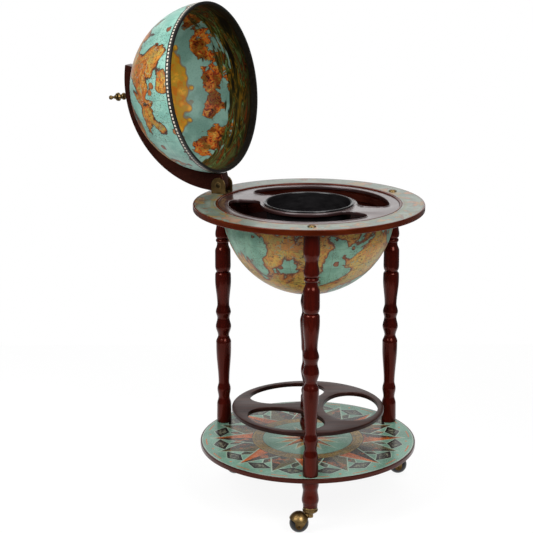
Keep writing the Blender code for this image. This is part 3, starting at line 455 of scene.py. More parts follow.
def sky_print(name):
    """Inside the lid: gold clouds round the pole, sky, warm tufts and a dark ground of strokes, with
    painted shade deepening towards the rim.
    """
    g = surface(name, LID_FRAME)
    unit = g.vector("NORMALIZE", g.place)
    x, y, z = g.split(unit)
    turn = g.turn_about(x, y)
    polar = QUARTER - g.math("ARCSINE", g.math("MINIMUM", z, 0.9999))
    fine = g.noise(unit, 60)

    # Sky, paler in places
    sky = g.mix(g.fall(g.noise(unit, 3, 4), 0.6, 0.4), (0.24, 0.42, 0.355), (0.15, 0.29, 0.24))
    sky = g.dim(g.fall(fine, 0.65, 0.45), sky, (0.84, 0.87, 0.86))

    # Cumulus round the pole
    puffs = g.cells(unit, 8.5, "Distance", "SMOOTH_F1")
    edge = polar + puffs * 0.21
    body = g.mix(g.fall(puffs, 0.14, 0.5), (0.5, 0.15, 0.006), (0.76, 0.37, 0.028))
    body = g.mix(g.fall(g.noise(unit, 12, 5, 0.7), 0.57, 0.4), body, (0.42, 0.25, 0.022))

    # Separate tufts of lit cloud lower down, each with curls of its own
    drift = g.shift(unit, TUFT_SEED)
    spread = g.cells(drift, 3.1) + (g.noise(drift, 7.5, 4, 0.58, 0.6) - 0.5) * 1.25
    spread = spread + g.near(polar, 1.1, 0.36, 0.14) * 0.7
    curls = g.noise(g.shift(unit, (0.2, 3.4, 0.1)), 15, 4, 0.6, 1.6)
    tuft_body = g.ramp(
        curls, (0.36, (0.05, 0.016, 0.004)), (0.44, (0.36, 0.04, 0.008)), (0.5, (0.7, 0.17, 0.016)),
        (0.56, (0.3, 0.12, 0.02)), (0.61, (0.72, 0.36, 0.06)), (0.68, (0.13, 0.085, 0.012)))
    tuft_body = g.dim(g.fall(g.noise(drift, 6), 0.58, 0.44), tuft_body, (0.36, 0.36, 0.24))

    # Strokes that follow the rim
    course = g.join(g.math("COSINE", turn) * 1.7, g.math("SINE", turn) * 1.7, polar * 13)
    ground = g.ramp(
        g.noise(course, 1, 3, 0.55, 0.7), (0.36, (0.005, 0.003, 0.001)),
        (0.42, (0.036, 0.032, 0.003)), (0.45, (0.185, 0.088, 0.004)), (0.47, (0.008, 0.006, 0.001)),
        (0.51, (0.048, 0.058, 0.006)), (0.53, (0.12, 0.195, 0.065)), (0.55, (0.01, 0.008, 0.001)),
        (0.59, (0.205, 0.05, 0.004)), (0.61, (0.011, 0.007, 0.001)), (0.68, (0.085, 0.105, 0.028)))
    # Painted shade: the ground darkens towards the rim, where the inside of the dome lies in shade
    ground = g.dim(g.fall(polar, 1.5, 1.33), ground, (0.24, 0.2, 0.17))
    limit = polar + (g.noise(course, 1.2, 4) - 0.5) * 0.6

    colour = g.paint(
        sky, (g.fall(edge, 0.772, 0.784), body), (g.line(edge, 0.784, 0.014) * 0.55, (0.2, 0.07, 0.01)),
        (g.fall(spread, 0.492, 0.507), tuft_body),
        (g.line(spread, 0.507, 0.026) * 0.75, (0.05, 0.026, 0.008)),
        (g.fall(limit, 1.195, 1.16), ground))
    return g.finish(colour, fine * 0.14 + 0.34, g.noise(unit, 45, 2), 0.0001, shine=0.16)


def ring_print(name):
    """The table ring: faded sea-green paper with warm patches between two ruled borders."""
    g = surface(name)
    reach, turn = g.polar()
    grain = g.noise(g.place, 420, 2)
    paper = g.mix(g.fall(g.noise(g.place, 26, 5, 0.6), 0.62, 0.38), (0.185, 0.222, 0.18),
                  (0.105, 0.14, 0.108))
    paper = g.dim(g.fall(grain, 0.7, 0.45), paper, (0.84, 0.86, 0.84))
    specks = g.fall(g.cells(g.place, 330), 0.16, 0.24) * g.fall(g.noise(g.place, 16, 2), 0.54, 0.43)

    patch = g.noise(g.shift(g.place, (0.31, 0.72, 0)), 34, 4, 0.58, 0.6)
    warm = g.ramp(g.noise(g.place, 34), (0.36, (0.26, 0.155, 0.1)), (0.46, (0.34, 0.115, 0.03)),
                  (0.56, (0.24, 0.175, 0.05)), (0.64, (0.14, 0.055, 0.03)))
    curl = g.line(g.noise(g.place, 75, 3, 0.6, 1.6), 0.5, 0.022) * g.fall(patch, 0.56, 0.45)

    # Two ruled borders, a chain of small lozenges and fine ticks
    lozenge = g.beat(turn, 24) * 0.045 + abs(reach - 0.213)
    tick = g.fall(g.beat(turn, 180), 0.05, 0.09) * g.near(reach, 0.2332, 0.001, 0.0012)
    colour = g.paint(
        paper, (specks * 0.8, (0.045, 0.048, 0.036)), (g.fall(patch, 0.57, 0.555) * 0.88, warm),
        (g.line(patch, 0.56, 0.011) * 0.65, (0.07, 0.04, 0.02)),
        (g.near(reach, 0.199, 0.0022, 0.0028) * 0.45, (0.14, 0.15, 0.045)),
        (curl * 0.55, (0.09, 0.055, 0.03)), (g.fall(lozenge, 0.0032, 0.0036), (0.075, 0.045, 0.03)),
        (g.fall(lozenge, 0.0012, 0.0016), (0.42, 0.3, 0.16)),
        (g.line(reach, 0.1955, 0.0006) * 0.8, (0.085, 0.045, 0.02)),
        (g.line(reach, 0.2318, 0.0006) * 0.7, (0.1, 0.07, 0.035)),
        (g.line(reach, 0.2345, 0.0004) * 0.7, (0.1, 0.07, 0.035)), (tick * 0.6, (0.09, 0.065, 0.035)))
    return g.finish(colour, grain * 0.14 + 0.28, g.noise(g.place, 160, 2), 0.00008, coat=0.35,
                    coat_rough=0.2)


def star(g, reach, turn, points, tip_r, base_r, offset):
    """Straight-sided points of a rose: how far inside one a place lies, and on which side."""
    half = pi / points
    part = g.math("FRACT", turn * (points / TURN) + (100.5 + offset)) - 0.5
    angle = part * (2 * half)
    x = reach * g.math("COSINE", angle)
    y = reach * g.math("SINE", angle)
    slope = base_r * sin(half) / (tip_r - base_r * cos(half))
    return (tip_r - x) * slope - abs(y), g.fall(y, 0.0002, -0.0002)


def rose_print(name):
    """The bottom shelf: a traditional compass rose on sea green, with a gold ring and dashes."""
    g = surface(name)
    reach, turn = g.polar()
    grain = g.noise(g.place, 420, 2)
    sea = g.mix(g.fall(g.noise(g.place, 22, 5, 0.6), 0.64, 0.36), (0.18, 0.348, 0.262),
                (0.126, 0.254, 0.188))
    sea = g.dim(g.fall(grain, 0.7, 0.45), sea, (0.86, 0.88, 0.86))
    pale = (0.31, 0.43, 0.33)
    rub = g.noise(g.place, 60, 5, 0.65)
    warm_spots = g.fall(g.noise(g.place, 44, 3, 0.6, 0.8), 0.582, 0.567) * 0.75

    def lay_star(colour, points, tip_r, base_r, offset, left, right):
        inside, side = star(g, reach, turn, points, tip_r, base_r, offset)
        fill = g.mix(warm_spots, g.mix(side, left, right), (0.36, 0.105, 0.03))
        fill = g.dim(g.fall(rub, 0.62, 0.42), fill, (0.55, 0.53, 0.5))
        return g.paint(colour, (g.fall(inside, 0.001, 0.0002), fill),
                       (g.line(inside, 0.0004, 0.0014), pale))

    # Dark lozenges with light hearts stand between the points
    colour = lay_star(sea, 16, 0.176, 0.128, 0.5, (0.026, 0.025, 0.014), (0.078, 0.084, 0.046))
    kite = g.beat(turn, 16) * 0.04 + abs(reach - 0.186)
    heart = g.fall(kite, 0.0092, 0.0098) * g.fall(g.noise(g.place, 150), 0.5, 0.44)
    colour = g.paint(
        colour, (g.fall(kite, 0.0184, 0.019), pale), (g.fall(kite, 0.0164, 0.017), (0.01, 0.009, 0.008)),
        (g.fall(kite, 0.0098, 0.0104), (0.17, 0.18, 0.12)), (heart, (0.03, 0.03, 0.024)))
    colour = lay_star(colour, 8, 0.203, 0.112, 0.5, (0.034, 0.024, 0.014), (0.12, 0.1, 0.042))
    colour = lay_star(colour, 8, 0.207, 0.1, 0, (0.52, 0.115, 0.014), (0.04, 0.026, 0.018))

    # The gold ring and the disc inside it, with its own small rose
    gold = g.mix(g.fall(rub, 0.6, 0.42), (0.27, 0.165, 0.028), (0.13, 0.092, 0.022))
    mark = g.fall(g.beat(turn, 72), 0.07, 0.11) * g.near(reach, 0.107, 0.0052, 0.0055)
    colour = g.paint(
        colour, (g.fall(reach, 0.1185, 0.119), gold), (g.line(reach, 0.1185, 0.0008), INK),
        (g.line(reach, 0.1125, 0.0005), (0.09, 0.055, 0.02)),
        (g.line(reach, 0.1015, 0.0005), (0.09, 0.055, 0.02)), (g.fall(reach, 0.095, 0.0956), sea),
        (g.line(reach, 0.0955, 0.0007), INK), (mark * 0.75, (0.075, 0.045, 0.018)))
    colour = lay_star(colour, 8, 0.072, 0.03, 0.5, (0.24, 0.16, 0.05), (0.44, 0.28, 0.09))
    colour = lay_star(colour, 8, 0.084, 0.026, 0, (0.46, 0.14, 0.035), (0.16, 0.075, 0.035))

    # The centre, and dashes, dots and a light ruled line at the edge
    dashes = g.beat(turn, 16, 0.25)
    dot = g.fall((0.5 - dashes) * 0.084 + abs(reach - 0.2085), 0.003, 0.0036)
    colour = g.paint(
        colour, (g.fall(reach, 0.0125, 0.013), (0.3, 0.18, 0.05)), (g.line(reach, 0.013, 0.0008), INK),
        (g.fall(dashes, 0.2, 0.21) * g.line(reach, 0.2155, 0.0014), (0.44, 0.125, 0.035)),
        (dot, (0.5, 0.14, 0.03)), (g.line(reach, 0.2235, 0.0006), (0.4, 0.46, 0.4)),
        (g.fall(reach, 0.2268, 0.2262), (0.1, 0.055, 0.035)))
    return g.finish(colour, grain * 0.14 + 0.2, g.noise(g.place, 160, 2), 0.00008, coat=0.2,
                    coat_rough=0.08, shine=0.24)


MAHOGANY = mahogany("mahogany_turned")
EDGE_WOOD = mahogany("mahogany_edge", (16, 16, 120), (0.044, 0.006, 0.0012), (0.092, 0.013, 0.002))
# A darker copy of the edge mahogany. On the bowl's hoop and inner face, seen down in the wells, its
# darkness is painted shade
SHELF_EDGE_WOOD = mahogany("mahogany_shelf_edge", (16, 16, 120), (0.018, 0.0036, 0.0022),
                           (0.042, 0.0082, 0.0048))
ARM_WOOD = mahogany("mahogany_arm", (50, 50, 5), (0.012, 0.0032, 0.002), (0.034, 0.0084, 0.005),
                    LID_FRAME)
DARK_WOOD = dark_wood("dark_wood")
TRAY_WOOD = dark_wood("tray_wood", (0.018, 0.005, 0.0042), (0.055, 0.018, 0.015), 1, (1, 0.84, 0.88),
                      0.62)
BRASS = brass("antique_brass")
# The hood's lower edge and tongue carry painted shade
HOOD_BRASS = brass("hood_brass", painted_shade_z=0.003)
DARK_BRASS = brass("dark_brass", (0.21, 0.135, 0.052), (0.088, 0.054, 0.021))
PIN_BRASS = brass("pin_brass", (0.06, 0.04, 0.018), (0.02, 0.013, 0.007))
STEEL = steel("zinc_steel")
BLACK = black_plastic("black_moulding")
BALL = ball_plastic("ball_nylon")
TRIM = trim("dark_trim")
RIM = rim_grey("shell_rim")
RING_PRINT = ring_print("ring_paper")
ROSE_PRINT = rose_print("shelf_paper")
LID_MAP = map_print(
    "lid_map", (1.7, 4.2, 0.6), (0.29, 0.53, 0.445), (0.2, 0.42, 0.35), (0.34, 0.085, 0.014),
    ((0.56, 0.24, 0.035), (0.42, 0.3, 0.06), (0.46, 0.12, 0.02), (0.27, 0.21, 0.065)),
    0.526, SEPIA, LID_FRAME)
BOWL_MAP = map_print(
    "bowl_map", (6.1, 0.3, 2.4), (0.24, 0.45, 0.325), (0.16, 0.335, 0.24), (0.4, 0.1, 0.02),
    ((0.56, 0.33, 0.055), (0.42, 0.33, 0.075), (0.54, 0.21, 0.04), (0.44, 0.27, 0.06)),
    0.496, (0.13, 0.034, 0.014))
SKY_PRINT = sky_print("lid_sky")


# Shapes

def frame_at(place, turn=0):
    return Matrix.Translation(place) @ spin(turn)


def over_cart(z=0):
    return frame_at(CART + Vector((0, 0, z)))


def stand(node, turn=0):
    """The frame a node stands in: its middle, at its foot."""
    return frame_at((middle(node).x, middle(node).y, low(node).z), turn)


def placed(name, data, matrix=FLAT):
    """A new object in the scene."""
    thing = bpy.data.objects.new(name, data)
    bpy.context.scene.collection.objects.link(thing)
    thing.matrix_world = matrix
    return thing


def add_piece(name, mesh, matrix, slot, materials, *nodes, body="cart"):
    """Set a mesh in the frame, give it its finish and let it ride on its body."""
    if body == "lid":
        # A slanted piece holds its place in its mesh, so that its box stays true
        mesh.transform(matrix)
        matrix = FLAT
    mesh.name = name
    piece = placed(name, mesh, matrix)
    for material in materials:
        mesh.materials.append(material)
    mesh.shade_smooth()
    mesh.set_sharp_from_angle(angle=SHARP)
    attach(piece, body)
    if nodes:
        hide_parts(*nodes)


def add_turned(name, outline, sides, matrix, slot, materials, *nodes, closed=False, slots=None,
               body="cart"):
    add_piece(name, lathe_mesh(outline, sides, closed, slots), matrix, slot, materials, *nodes,
              body=body)


def eased(corners, steps=CORNER_STEPS):
    """An outline with rounded corners. Each corner is (radius, height, rounding)."""
    points = []
    last = len(corners) - 1
    for i, (radius, height, rounding) in enumerate(corners):
        corner = Vector((radius, height))
        if not rounding or i in (0, last):
            points.append((radius, height))
            continue
        before = Vector(corners[i - 1][:2]) - corner
        after = Vector(corners[i + 1][:2]) - corner
        start = corner + before.normalized() * min(rounding, before.length * 0.49)
        end = corner + after.normalized() * min(rounding, after.length * 0.49)
        for step in range(steps + 1):
            part = step / steps
            point = start * (1 - part) ** 2 + corner * 2 * part * (1 - part) + end * part ** 2
            points.append((point.x, point.y))
    return points


def arc(radius, start, end, steps, centre=(0, 0)):
    points = []
    for i in range(steps + 1):
        turn = start + (end - start) * i / steps
        points.append((centre[0] + radius * cos(turn), centre[1] + radius * sin(turn)))
    return points


def circle(radius, sides=WIDE_SIDES):
    return arc(radius, 0, TURN, sides)[:-1]


def head_outline(radius, height, base, steps):
    """A domed head, from its top down to its rim."""
    turns = [QUARTER * i / steps for i in range(steps + 1)]
    return [(radius * sin(turn), base + height * cos(turn)) for turn in turns]


def turned_loop(loop, turn):
    rotation = Matrix.Rotation(turn, 2)
    return [tuple(rotation @ Vector(point)) for point in loop]


def turning(shares, height, radius, base=0):
    """A turned outline, top to bottom, from (height share, radius share) points.

    Between two soft points the outline eases. Beside a crisp one, which has True after it, it
    rounds over into a quarter of an oval, as a bead does at its groove."""
    points = []
    for (top, wide, *crisp_top), (under, narrow, *crisp_under) in zip(shares, shares[1:]):
        for row in range(TURNED_ROWS):
            part = row / TURNED_ROWS
            if crisp_top and crisp_under:
                ease = part
            elif crisp_top:
                ease = sqrt(1 - (1 - part) ** 2)
            elif crisp_under:
                ease = 1 - sqrt(1 - part ** 2)
            else:
                ease = part * part * (3 - 2 * part)
            points.append((radius * (wide + (narrow - wide) * ease),
                           base + height * (top + (under - top) * part)))
    points.append((radius * shares[-1][1], base + height * shares[-1][0]))
    return points


def mesh_of(solid):
    """The mesh of a bmesh that is done with."""
    mesh = bpy.data.meshes.new("mesh")
    solid.to_mesh(mesh)
    solid.free()
    return mesh


def lathe_mesh(outline, sides, closed=False, slots=None):
    """Turn an outline of (radius, height) round Z. slots gives each stretch its material."""
    solid = bmesh.new()
    rings = []
    for radius, height in outline:
        if radius < TINY:
            rings.append([solid.verts.new((0, 0, height))])
        else:
            rings.append([solid.verts.new((x, y, height)) for x, y in circle(radius, sides)])
    pairs = list(zip(rings, rings[1:]))
    if closed:
        pairs.append((rings[-1], rings[0]))
    for stretch, (above, below) in enumerate(pairs):
        for i in range(sides):
            corners = []
            for ring, index in ((above, i), (below, i), (below, i + 1), (above, i + 1)):
                corner = ring[index % len(ring)]
                if corner not in corners:
                    corners.append(corner)
            if len(corners) > 2:
                face = solid.faces.new(corners)
                face.material_index = slots(stretch) if slots else 0
    bmesh.ops.recalc_face_normals(solid, faces=solid.faces)
    return mesh_of(solid)


def rod_mesh(radius, half):
    return lathe_mesh([(0, half), (radius, half), (radius, -half), (0, -half)], SMALL_SIDES)


def new_curve(dimensions, bevel, resolution):
    curve = bpy.data.curves.new("guide", "CURVE")
    curve.dimensions = dimensions
    curve.bevel_depth = bevel
    curve.bevel_resolution = resolution
    return curve


def fill_spline(curve, loop):
    spline = curve.splines.new("POLY")
    spline.points.add(len(loop) - 1)
    for point, (x, y) in zip(spline.points, loop):
        point.co = (x, y, 0, 1)
    spline.use_cyclic_u = True


def result_mesh(thing):
    """The mesh of an object once its curve or modifiers are worked out."""
    depsgraph = bpy.context.evaluated_depsgraph_get()
    return bpy.data.meshes.new_from_object(thing.evaluated_get(depsgraph))


def curve_mesh(curve):
    """The welded mesh of a curve."""
    guide = placed("guide", curve)
    mesh = result_mesh(guide)
    bpy.data.objects.remove(guide)
    solid = bmesh.new()
    solid.from_mesh(mesh)
    bpy.data.meshes.remove(mesh)
    bmesh.ops.remove_doubles(solid, verts=solid.verts, dist=TINY)
    bmesh.ops.recalc_face_normals(solid, faces=solid.faces)
    return mesh_of(solid)


def plate_mesh(loops, thickness, rounding=EDGE):
    """A board cut to the first loop, with the others as holes, and every edge rounded."""
    curve = new_curve("2D", rounding, 2)
    curve.fill_mode = "BOTH"
    curve.extrude = thickness / 2 - rounding
    curve.offset = -rounding
    for number, loop in enumerate(loops):
        fill_spline(curve, loop if number == 0 else loop[::-1])
    return curve_mesh(curve)


def bead_mesh(loop, radius):
    """A round bead that follows a flat loop."""
    curve = new_curve("3D", radius, 4)
    fill_spline(curve, loop)
    return curve_mesh(curve)


def box_mesh(size, centre=(0, 0, 0), rounding=EDGE):
    solid = bmesh.new()
    bmesh.ops.create_cube(solid, size=1, matrix=move(*centre) @ sized(*size))
    bmesh.ops.bevel(solid, geom=solid.edges[:], offset=rounding, segments=2, profile=0.5,
                    affect="EDGES")
    return mesh_of(solid)


def dome_mesh(radius, rise):
    solid = bmesh.new()
    bmesh.ops.create_uvsphere(solid, u_segments=DOME_SIDES, v_segments=DOME_ROWS, radius=1,
                              matrix=sized(radius, radius, rise))
    return mesh_of(solid)


def cut(mesh, steps):
    """The mesh after booleans with others: (operation, mesh, matrix) each."""
    blank = placed("blank", mesh)
    tools = []
    for operation, tool_mesh, matrix in steps:
        tool = placed("tool", tool_mesh, matrix)
        modifier = blank.modifiers.new(operation, "BOOLEAN")
        modifier.operation = operation
        modifier.solver = "EXACT"
        modifier.object = tool
        tools.append(tool)
    bpy.context.view_layer.update()
    result = result_mesh(blank)
    for thing in tools + [blank]:
        bpy.data.objects.remove(thing)
    return result


# Table ring, tray, wells and bucket

RING_BORE_R = 0.17
TRAY_FIT = 0.0005
TRAY_SEAT_R = TRAY_R + TRAY_FIT
RING_BEAD_W = 0.0046
RING_BEAD_RISE = 0.0002
RING_GROOVE = 0.0012
RING_NOSE = 0.0032


def table_ring():
    """The ring: paper on top, a rounded nose outside and a lacquered bead at the tray."""
    groove_z = RING_TOP_Z - RING_GROOVE
    bead_r = TRAY_SEAT_R + RING_BEAD_W
    nose_r = RING_R - RING_NOSE
    outline = [(TRAY_SEAT_R, TRAY_LOW_Z - GAP), (TRAY_SEAT_R, groove_z)]
    for x, y in arc(1, pi, 0, ARC_STEPS)[1:-1]:
        outline.append((TRAY_SEAT_R + RING_BEAD_W * (1 + x) / 2,
                        groove_z + (RING_GROOVE + RING_BEAD_RISE) * y))
    outline.append((bead_r, groove_z))
    paper = len(outline)
    outline += [(bead_r + EDGE, RING_TOP_Z), (nose_r, RING_TOP_Z)]
    outline += eased([(nose_r, RING_TOP_Z, 0), (RING_R, RING_TOP_Z, RING_NOSE * 0.8),
                      (RING_R, RING_LOW_Z, RING_NOSE * 0.6), (RING_BORE_R, RING_LOW_Z, EDGE),
                      (RING_BORE_R, TRAY_LOW_Z - GAP, 0)], NOSE_STEPS)[1:]
    add_turned("table_ring_board", outline, WIDE_SIDES, over_cart(), "ring_print",
               [RING_PRINT, EDGE_WOOD], "table_ring", closed=True,
               slots=lambda stretch: int(stretch != paper))


TRAY_HOLE_R = 0.089
WELL_IN_R = 0.0995
WELL_RIM_W = 0.0213
WELL_OUT_R = TRAY_SEAT_R - WELL_RIM_W
WELL_CORNER_R = 0.024
WELL_STEPS = 40
WELL_END_STEPS = 4
SPOKE_HALF_TURN = radians(13.5)
WELL_BEAD_R = 0.0013
WELL_BEAD_Z = TRAY_TOP_Z - WELL_BEAD_R * 0.25
HOLE_BEAD_PLACE_R = 0.0945
TRAY_ROUNDING = 0.001


def well_loop(spare):
    """One well: a rounded rectangle bent round the tray's middle."""
    middle_r = (WELL_IN_R + WELL_OUT_R) / 2
    half_w = (WELL_OUT_R - WELL_IN_R) / 2 + spare
    half_l = (QUARTER - SPOKE_HALF_TURN) * middle_r + spare
    corner_r = WELL_CORNER_R + spare
    straight = half_l - corner_r
    flat_w = half_w - corner_r
    points = []
    for corner, (sx, sy) in enumerate(((1, 1), (-1, 1), (-1, -1), (1, -1))):
        points += arc(corner_r, corner * QUARTER, (corner + 1) * QUARTER, ARC_STEPS,
                      (sx * straight, sy * flat_w))
        steps = WELL_STEPS if sx == sy else WELL_END_STEPS
        for i in range(1, steps):
            left = 1 - 2 * i / steps
            if sx == sy:
                points.append((sx * straight * left, sy * half_w))
            else:
                points.append((sx * half_l, sy * flat_w * left))
    return [((middle_r + y) * cos(-x / middle_r), (middle_r + y) * sin(-x / middle_r))
            for x, y in points]


def well_loops(spare=0):
    return [turned_loop(well_loop(spare), HINGE_TURN + side * QUARTER) for side in (1, -1)]


def tray_plate():
    """The dark plate, its wells and centre hole with a fine bead round each."""
    mesh = plate_mesh([circle(TRAY_R), circle(TRAY_HOLE_R)] + well_loops(), height_of("tray_plate"),
                      TRAY_ROUNDING)
    add_piece("tray_board", mesh, over_cart(middle("tray_plate").z), "dark_wood", [TRAY_WOOD],
              "tray_plate")
    loops = well_loops(WELL_BEAD_R) + [circle(HOLE_BEAD_PLACE_R)]
    for name, loop in zip(("well_bead_1", "well_bead_2", "hole_bead"), loops):
        add_piece(name, bead_mesh(loop, WELL_BEAD_R), over_cart(WELL_BEAD_Z), "dark_wood", [TRAY_WOOD])


BUCKET_R = 0.088
BUCKET_BASE_R = 0.08
BUCKET_WALL = 0.0018
BUCKET_FOOT_EASE = 0.003
BUCKET_FLOOR_EASE = 0.004
ROLL_R = 0.002
ROLL_PLACE_R = BUCKET_R + ROLL_R * 1.1
ROLL_END = QUARTER * 2.2
ROLL_STEPS = 12


def ice_bucket():
    """A deep black bucket with a rolled lip."""
    floor = low("ice_bucket").z
    lip_low = TRAY_TOP_Z + GAP
    roll_z = lip_low + ROLL_R
    inner_r = BUCKET_R - BUCKET_WALL
    outline = eased([(0, floor, 0), (BUCKET_BASE_R, floor, BUCKET_FOOT_EASE),
                     (BUCKET_R, lip_low - EDGE, 0)])
    outline += arc(ROLL_R, -QUARTER, ROLL_END, ROLL_STEPS, (ROLL_PLACE_R, roll_z))
    outline += eased([(inner_r, roll_z, 0), (inner_r, lip_low, 0),
                      (BUCKET_BASE_R - BUCKET_WALL, floor + BUCKET_WALL, BUCKET_FLOOR_EASE),
                      (0, floor + BUCKET_WALL, 0)])
    add_turned("ice_bucket_black", outline, GLOBE_SIDES, over_cart(), "black_plastic", [BLACK],
               "ice_bucket")


SHELF_GAP = 0.0021
SHELF_SLOPE = 0.0014
HOOP_WALL = 0.0075


def hoop(name, node, inner, easing, slope, slot, material):
    """A flat ring that narrows a little downwards."""
    top, under = high(node).z, low(node).z
    outer = half_width(node)
    outline = eased([(inner, under, 0), (inner, top, easing), (outer, top, easing),
                     (outer - slope, under, EDGE), (inner, under, 0)])
    add_turned(name, outline[:-1], GLOBE_SIDES, over_cart(), slot, [material], node, closed=True)


def glass_shelf():
    """The black floor of the wells, a ring round the bucket."""
    hoop("well_floor", "glass_shelf", BUCKET_R - SHELF_GAP, EDGE, SHELF_SLOPE, "black_plastic", BLACK)


def bowl_hoop():
    # The darker edge mahogany here is painted shade on the wall seen down in the wells
    hoop("bowl_hoop_wood", "bowl_hoop", half_width("bowl_hoop") - HOOP_WALL, 0, EDGE, "dark_wood",
         SHELF_EDGE_WOOD)


# Globe

GLOBE_WALL = 0.0035
BAND_T = 0.0018
BAND_H = 0.012
BAND_ROWS = 6


def add_shell(name, matrix, slot, materials, node, pole, hole_r, flat_r, body="cart"):
    """Half the globe's wall about its middle: map outside, rim, and the inner face."""
    inside_r = GLOBE_R - GLOBE_WALL
    outer = arc(GLOBE_R, 0, copysign(acos(hole_r / GLOBE_R), pole), GLOBE_ROWS)
    inner = arc(inside_r, 0, copysign(acos(flat_r / inside_r), pole), GLOBE_ROWS)
    outline = outer[::-1] + inner + [(hole_r, inner[-1][1])]
    add_turned(name, outline, GLOBE_SIDES, matrix, slot, materials, node, closed=True,
               slots=lambda stretch: (stretch >= GLOBE_ROWS) + (stretch > GLOBE_ROWS), body=body)


def lower_bowl():
    # The inner face takes the darker edge mahogany as painted shade for the inside seen through the
    # wells
    add_shell("lower_bowl_map", over_cart(BOWL_Z), "globe_print", [BOWL_MAP, RIM, SHELF_EDGE_WOOD],
              "lower_bowl", -1, hole_r=BOLT_HOLE_R, flat_r=0.0105)


def lid_shell():
    add_shell("lid_dome", LID_FRAME, "lid_print", [LID_MAP, RIM, SKY_PRINT], "lid_shell", 1,
              hole_r=FINIAL_HOLE_R, flat_r=0.008, body="lid")
    inside = GLOBE_R - GLOBE_WALL - GAP
    outline = arc(inside, asin(BAND_H / inside), 0, BAND_ROWS)
    outline += [(radius - BAND_T, height) for radius, height in outline[::-1]]
    add_turned("lid_rim_band", outline, GLOBE_SIDES, LID_FRAME, "black_trim", [TRIM], "lid_band",
               closed=True, body="lid")


# Meridian arm and finial

ARM_W = 0.026
ARM_POLE_T = 0.0385
ARM_ROOT_R = 0.0125
ARM_SEAT_GAP = 0.0004
ARM_ROOT_GAP = 0.003
ARM_ROOT_DROP = 0.01
ARM_TAPER_POWER = 1.25
ARM_TIP = radians(108)
ARM_HEEL = radians(-98)
ARM_STEPS = 72
ARM_ROUNDING = 0.0014


def arm_side(start, depth_at):
    """One side of the crescent, from a start beside the pin to the tip."""
    points = []
    for i in range(ARM_STEPS + 1):
        turn = start + (ARM_TIP - start) * i / ARM_STEPS
        share = (turn - start) / (QUARTER - start)
        gap = ARM_ROOT_GAP + (ARM_SEAT_GAP - ARM_ROOT_GAP) * min(1, share)
        reach = GLOBE_R + gap + depth_at(max(0, 1 - share))
        points.append((reach * cos(turn), reach * sin(turn)))
    return points


def meridian_arm():
    """A crescent of wood from the pin to past the pole, cut square at its tip."""
    pin_turn = atan2(PIN_OVER_RIM, PIN_CIRCLE_R)
    root_t = hypot(PIN_OVER_RIM, PIN_CIRCLE_R) + ARM_ROOT_R - GLOBE_R - ARM_ROOT_GAP
    heel_turn = asin((PIN_OVER_RIM - ARM_ROOT_DROP) / (GLOBE_R + ARM_ROOT_GAP))
    outer = arm_side(pin_turn, lambda left: ARM_POLE_T + (root_t - ARM_POLE_T) * left ** ARM_TAPER_POWER)
    inner = arm_side(heel_turn, lambda left: 0)
    heel = arc(ARM_ROOT_R, pin_turn, ARM_HEEL, LONG_ARC_STEPS, (PIN_CIRCLE_R, PIN_OVER_RIM))[1:]
    mesh = plate_mesh([outer[::-1] + heel + inner], ARM_W, ARM_ROUNDING)
    add_piece("arm_crescent", mesh, LID_FRAME @ UPRIGHT, "mahogany", [ARM_WOOD], "meridian_arm",
              body="lid")


FINIAL_R = 0.0092
FINIAL_LENGTH = 0.0505
FINIAL_SHANK_R = 0.0025
FINIAL_HOLE_R = 0.0028
FINIAL_SHARES = (
    (0.985, 0.24), (0.955, 0.44), (0.91, 0.53), (0.855, 0.42), (0.78, 0.24), (0.69, 0.44),
    (0.625, 0.42), (0.6, 0.62, True), (0.575, 0.93), (0.51, 1), (0.44, 0.56), (0.375, 0.5),
    (0.25, 0.84), (0.18, 0.52, True), (0.09, 0.6), (0.06, 0.9, True), (0.04, 1), (0, 0.98, True),
)


def finial():
    """A turned brass knob whose shank goes through arm and lid to its nut."""
    seat = GLOBE_R + ARM_SEAT_GAP + ARM_POLE_T + GAP
    nut_t = min(high("finial_nut") - low("finial_nut"))
    shank = seat - (GLOBE_R - GLOBE_WALL) + nut_t + EDGE
    outline = [(0, FINIAL_LENGTH)] + turning(FINIAL_SHARES, FINIAL_LENGTH, FINIAL_R)
    outline += eased([(FINIAL_SHANK_R, 0, 0), (FINIAL_SHANK_R, -shank, EDGE), (0, -shank, 0)])
    add_turned("finial_turned", outline, POST_SIDES, LID_FRAME @ move(0, 0, seat), "brass",
               [DARK_BRASS], "finial", body="lid")


# Hinge bracket, pin and screws

PIN_R = 0.003
PIN_HEAD_R = 0.005
PIN_HEAD_H = 0.0018
PIN_HEAD_STEPS = 6
EAR_R = 0.0168
EAR_T = 0.003
BRACKET_BASE_T = 0.002
BRACKET_ROUNDING = 0.0008
BOSS_R = 0.0078
BOSS_T = 0.0007
SCREW_ALONG = 0.0118
SCREW_ACROSS = 0.0078
SCREW_R = 0.0014
SCREW_HEAD_R = 0.0028
SCREW_HEAD_H = 0.0013
SCREW_HEAD_STEPS = 5
SCREW_SLOT_L = SCREW_HEAD_R * 2.4
SCREW_SLOT_TURN = 0.7    # from one screw's slot to the next
SCREW_REACH = 0.008
FORK_IN_W = ARM_W + 2 * GAP
FORK_W = FORK_IN_W + 2 * EAR_T
FORK_PLACE = frame_at((HINGE.x, HINGE.y, RING_TOP_Z + GAP), HINGE_TURN)
PIN_RISE = HINGE.z - RING_TOP_Z - GAP


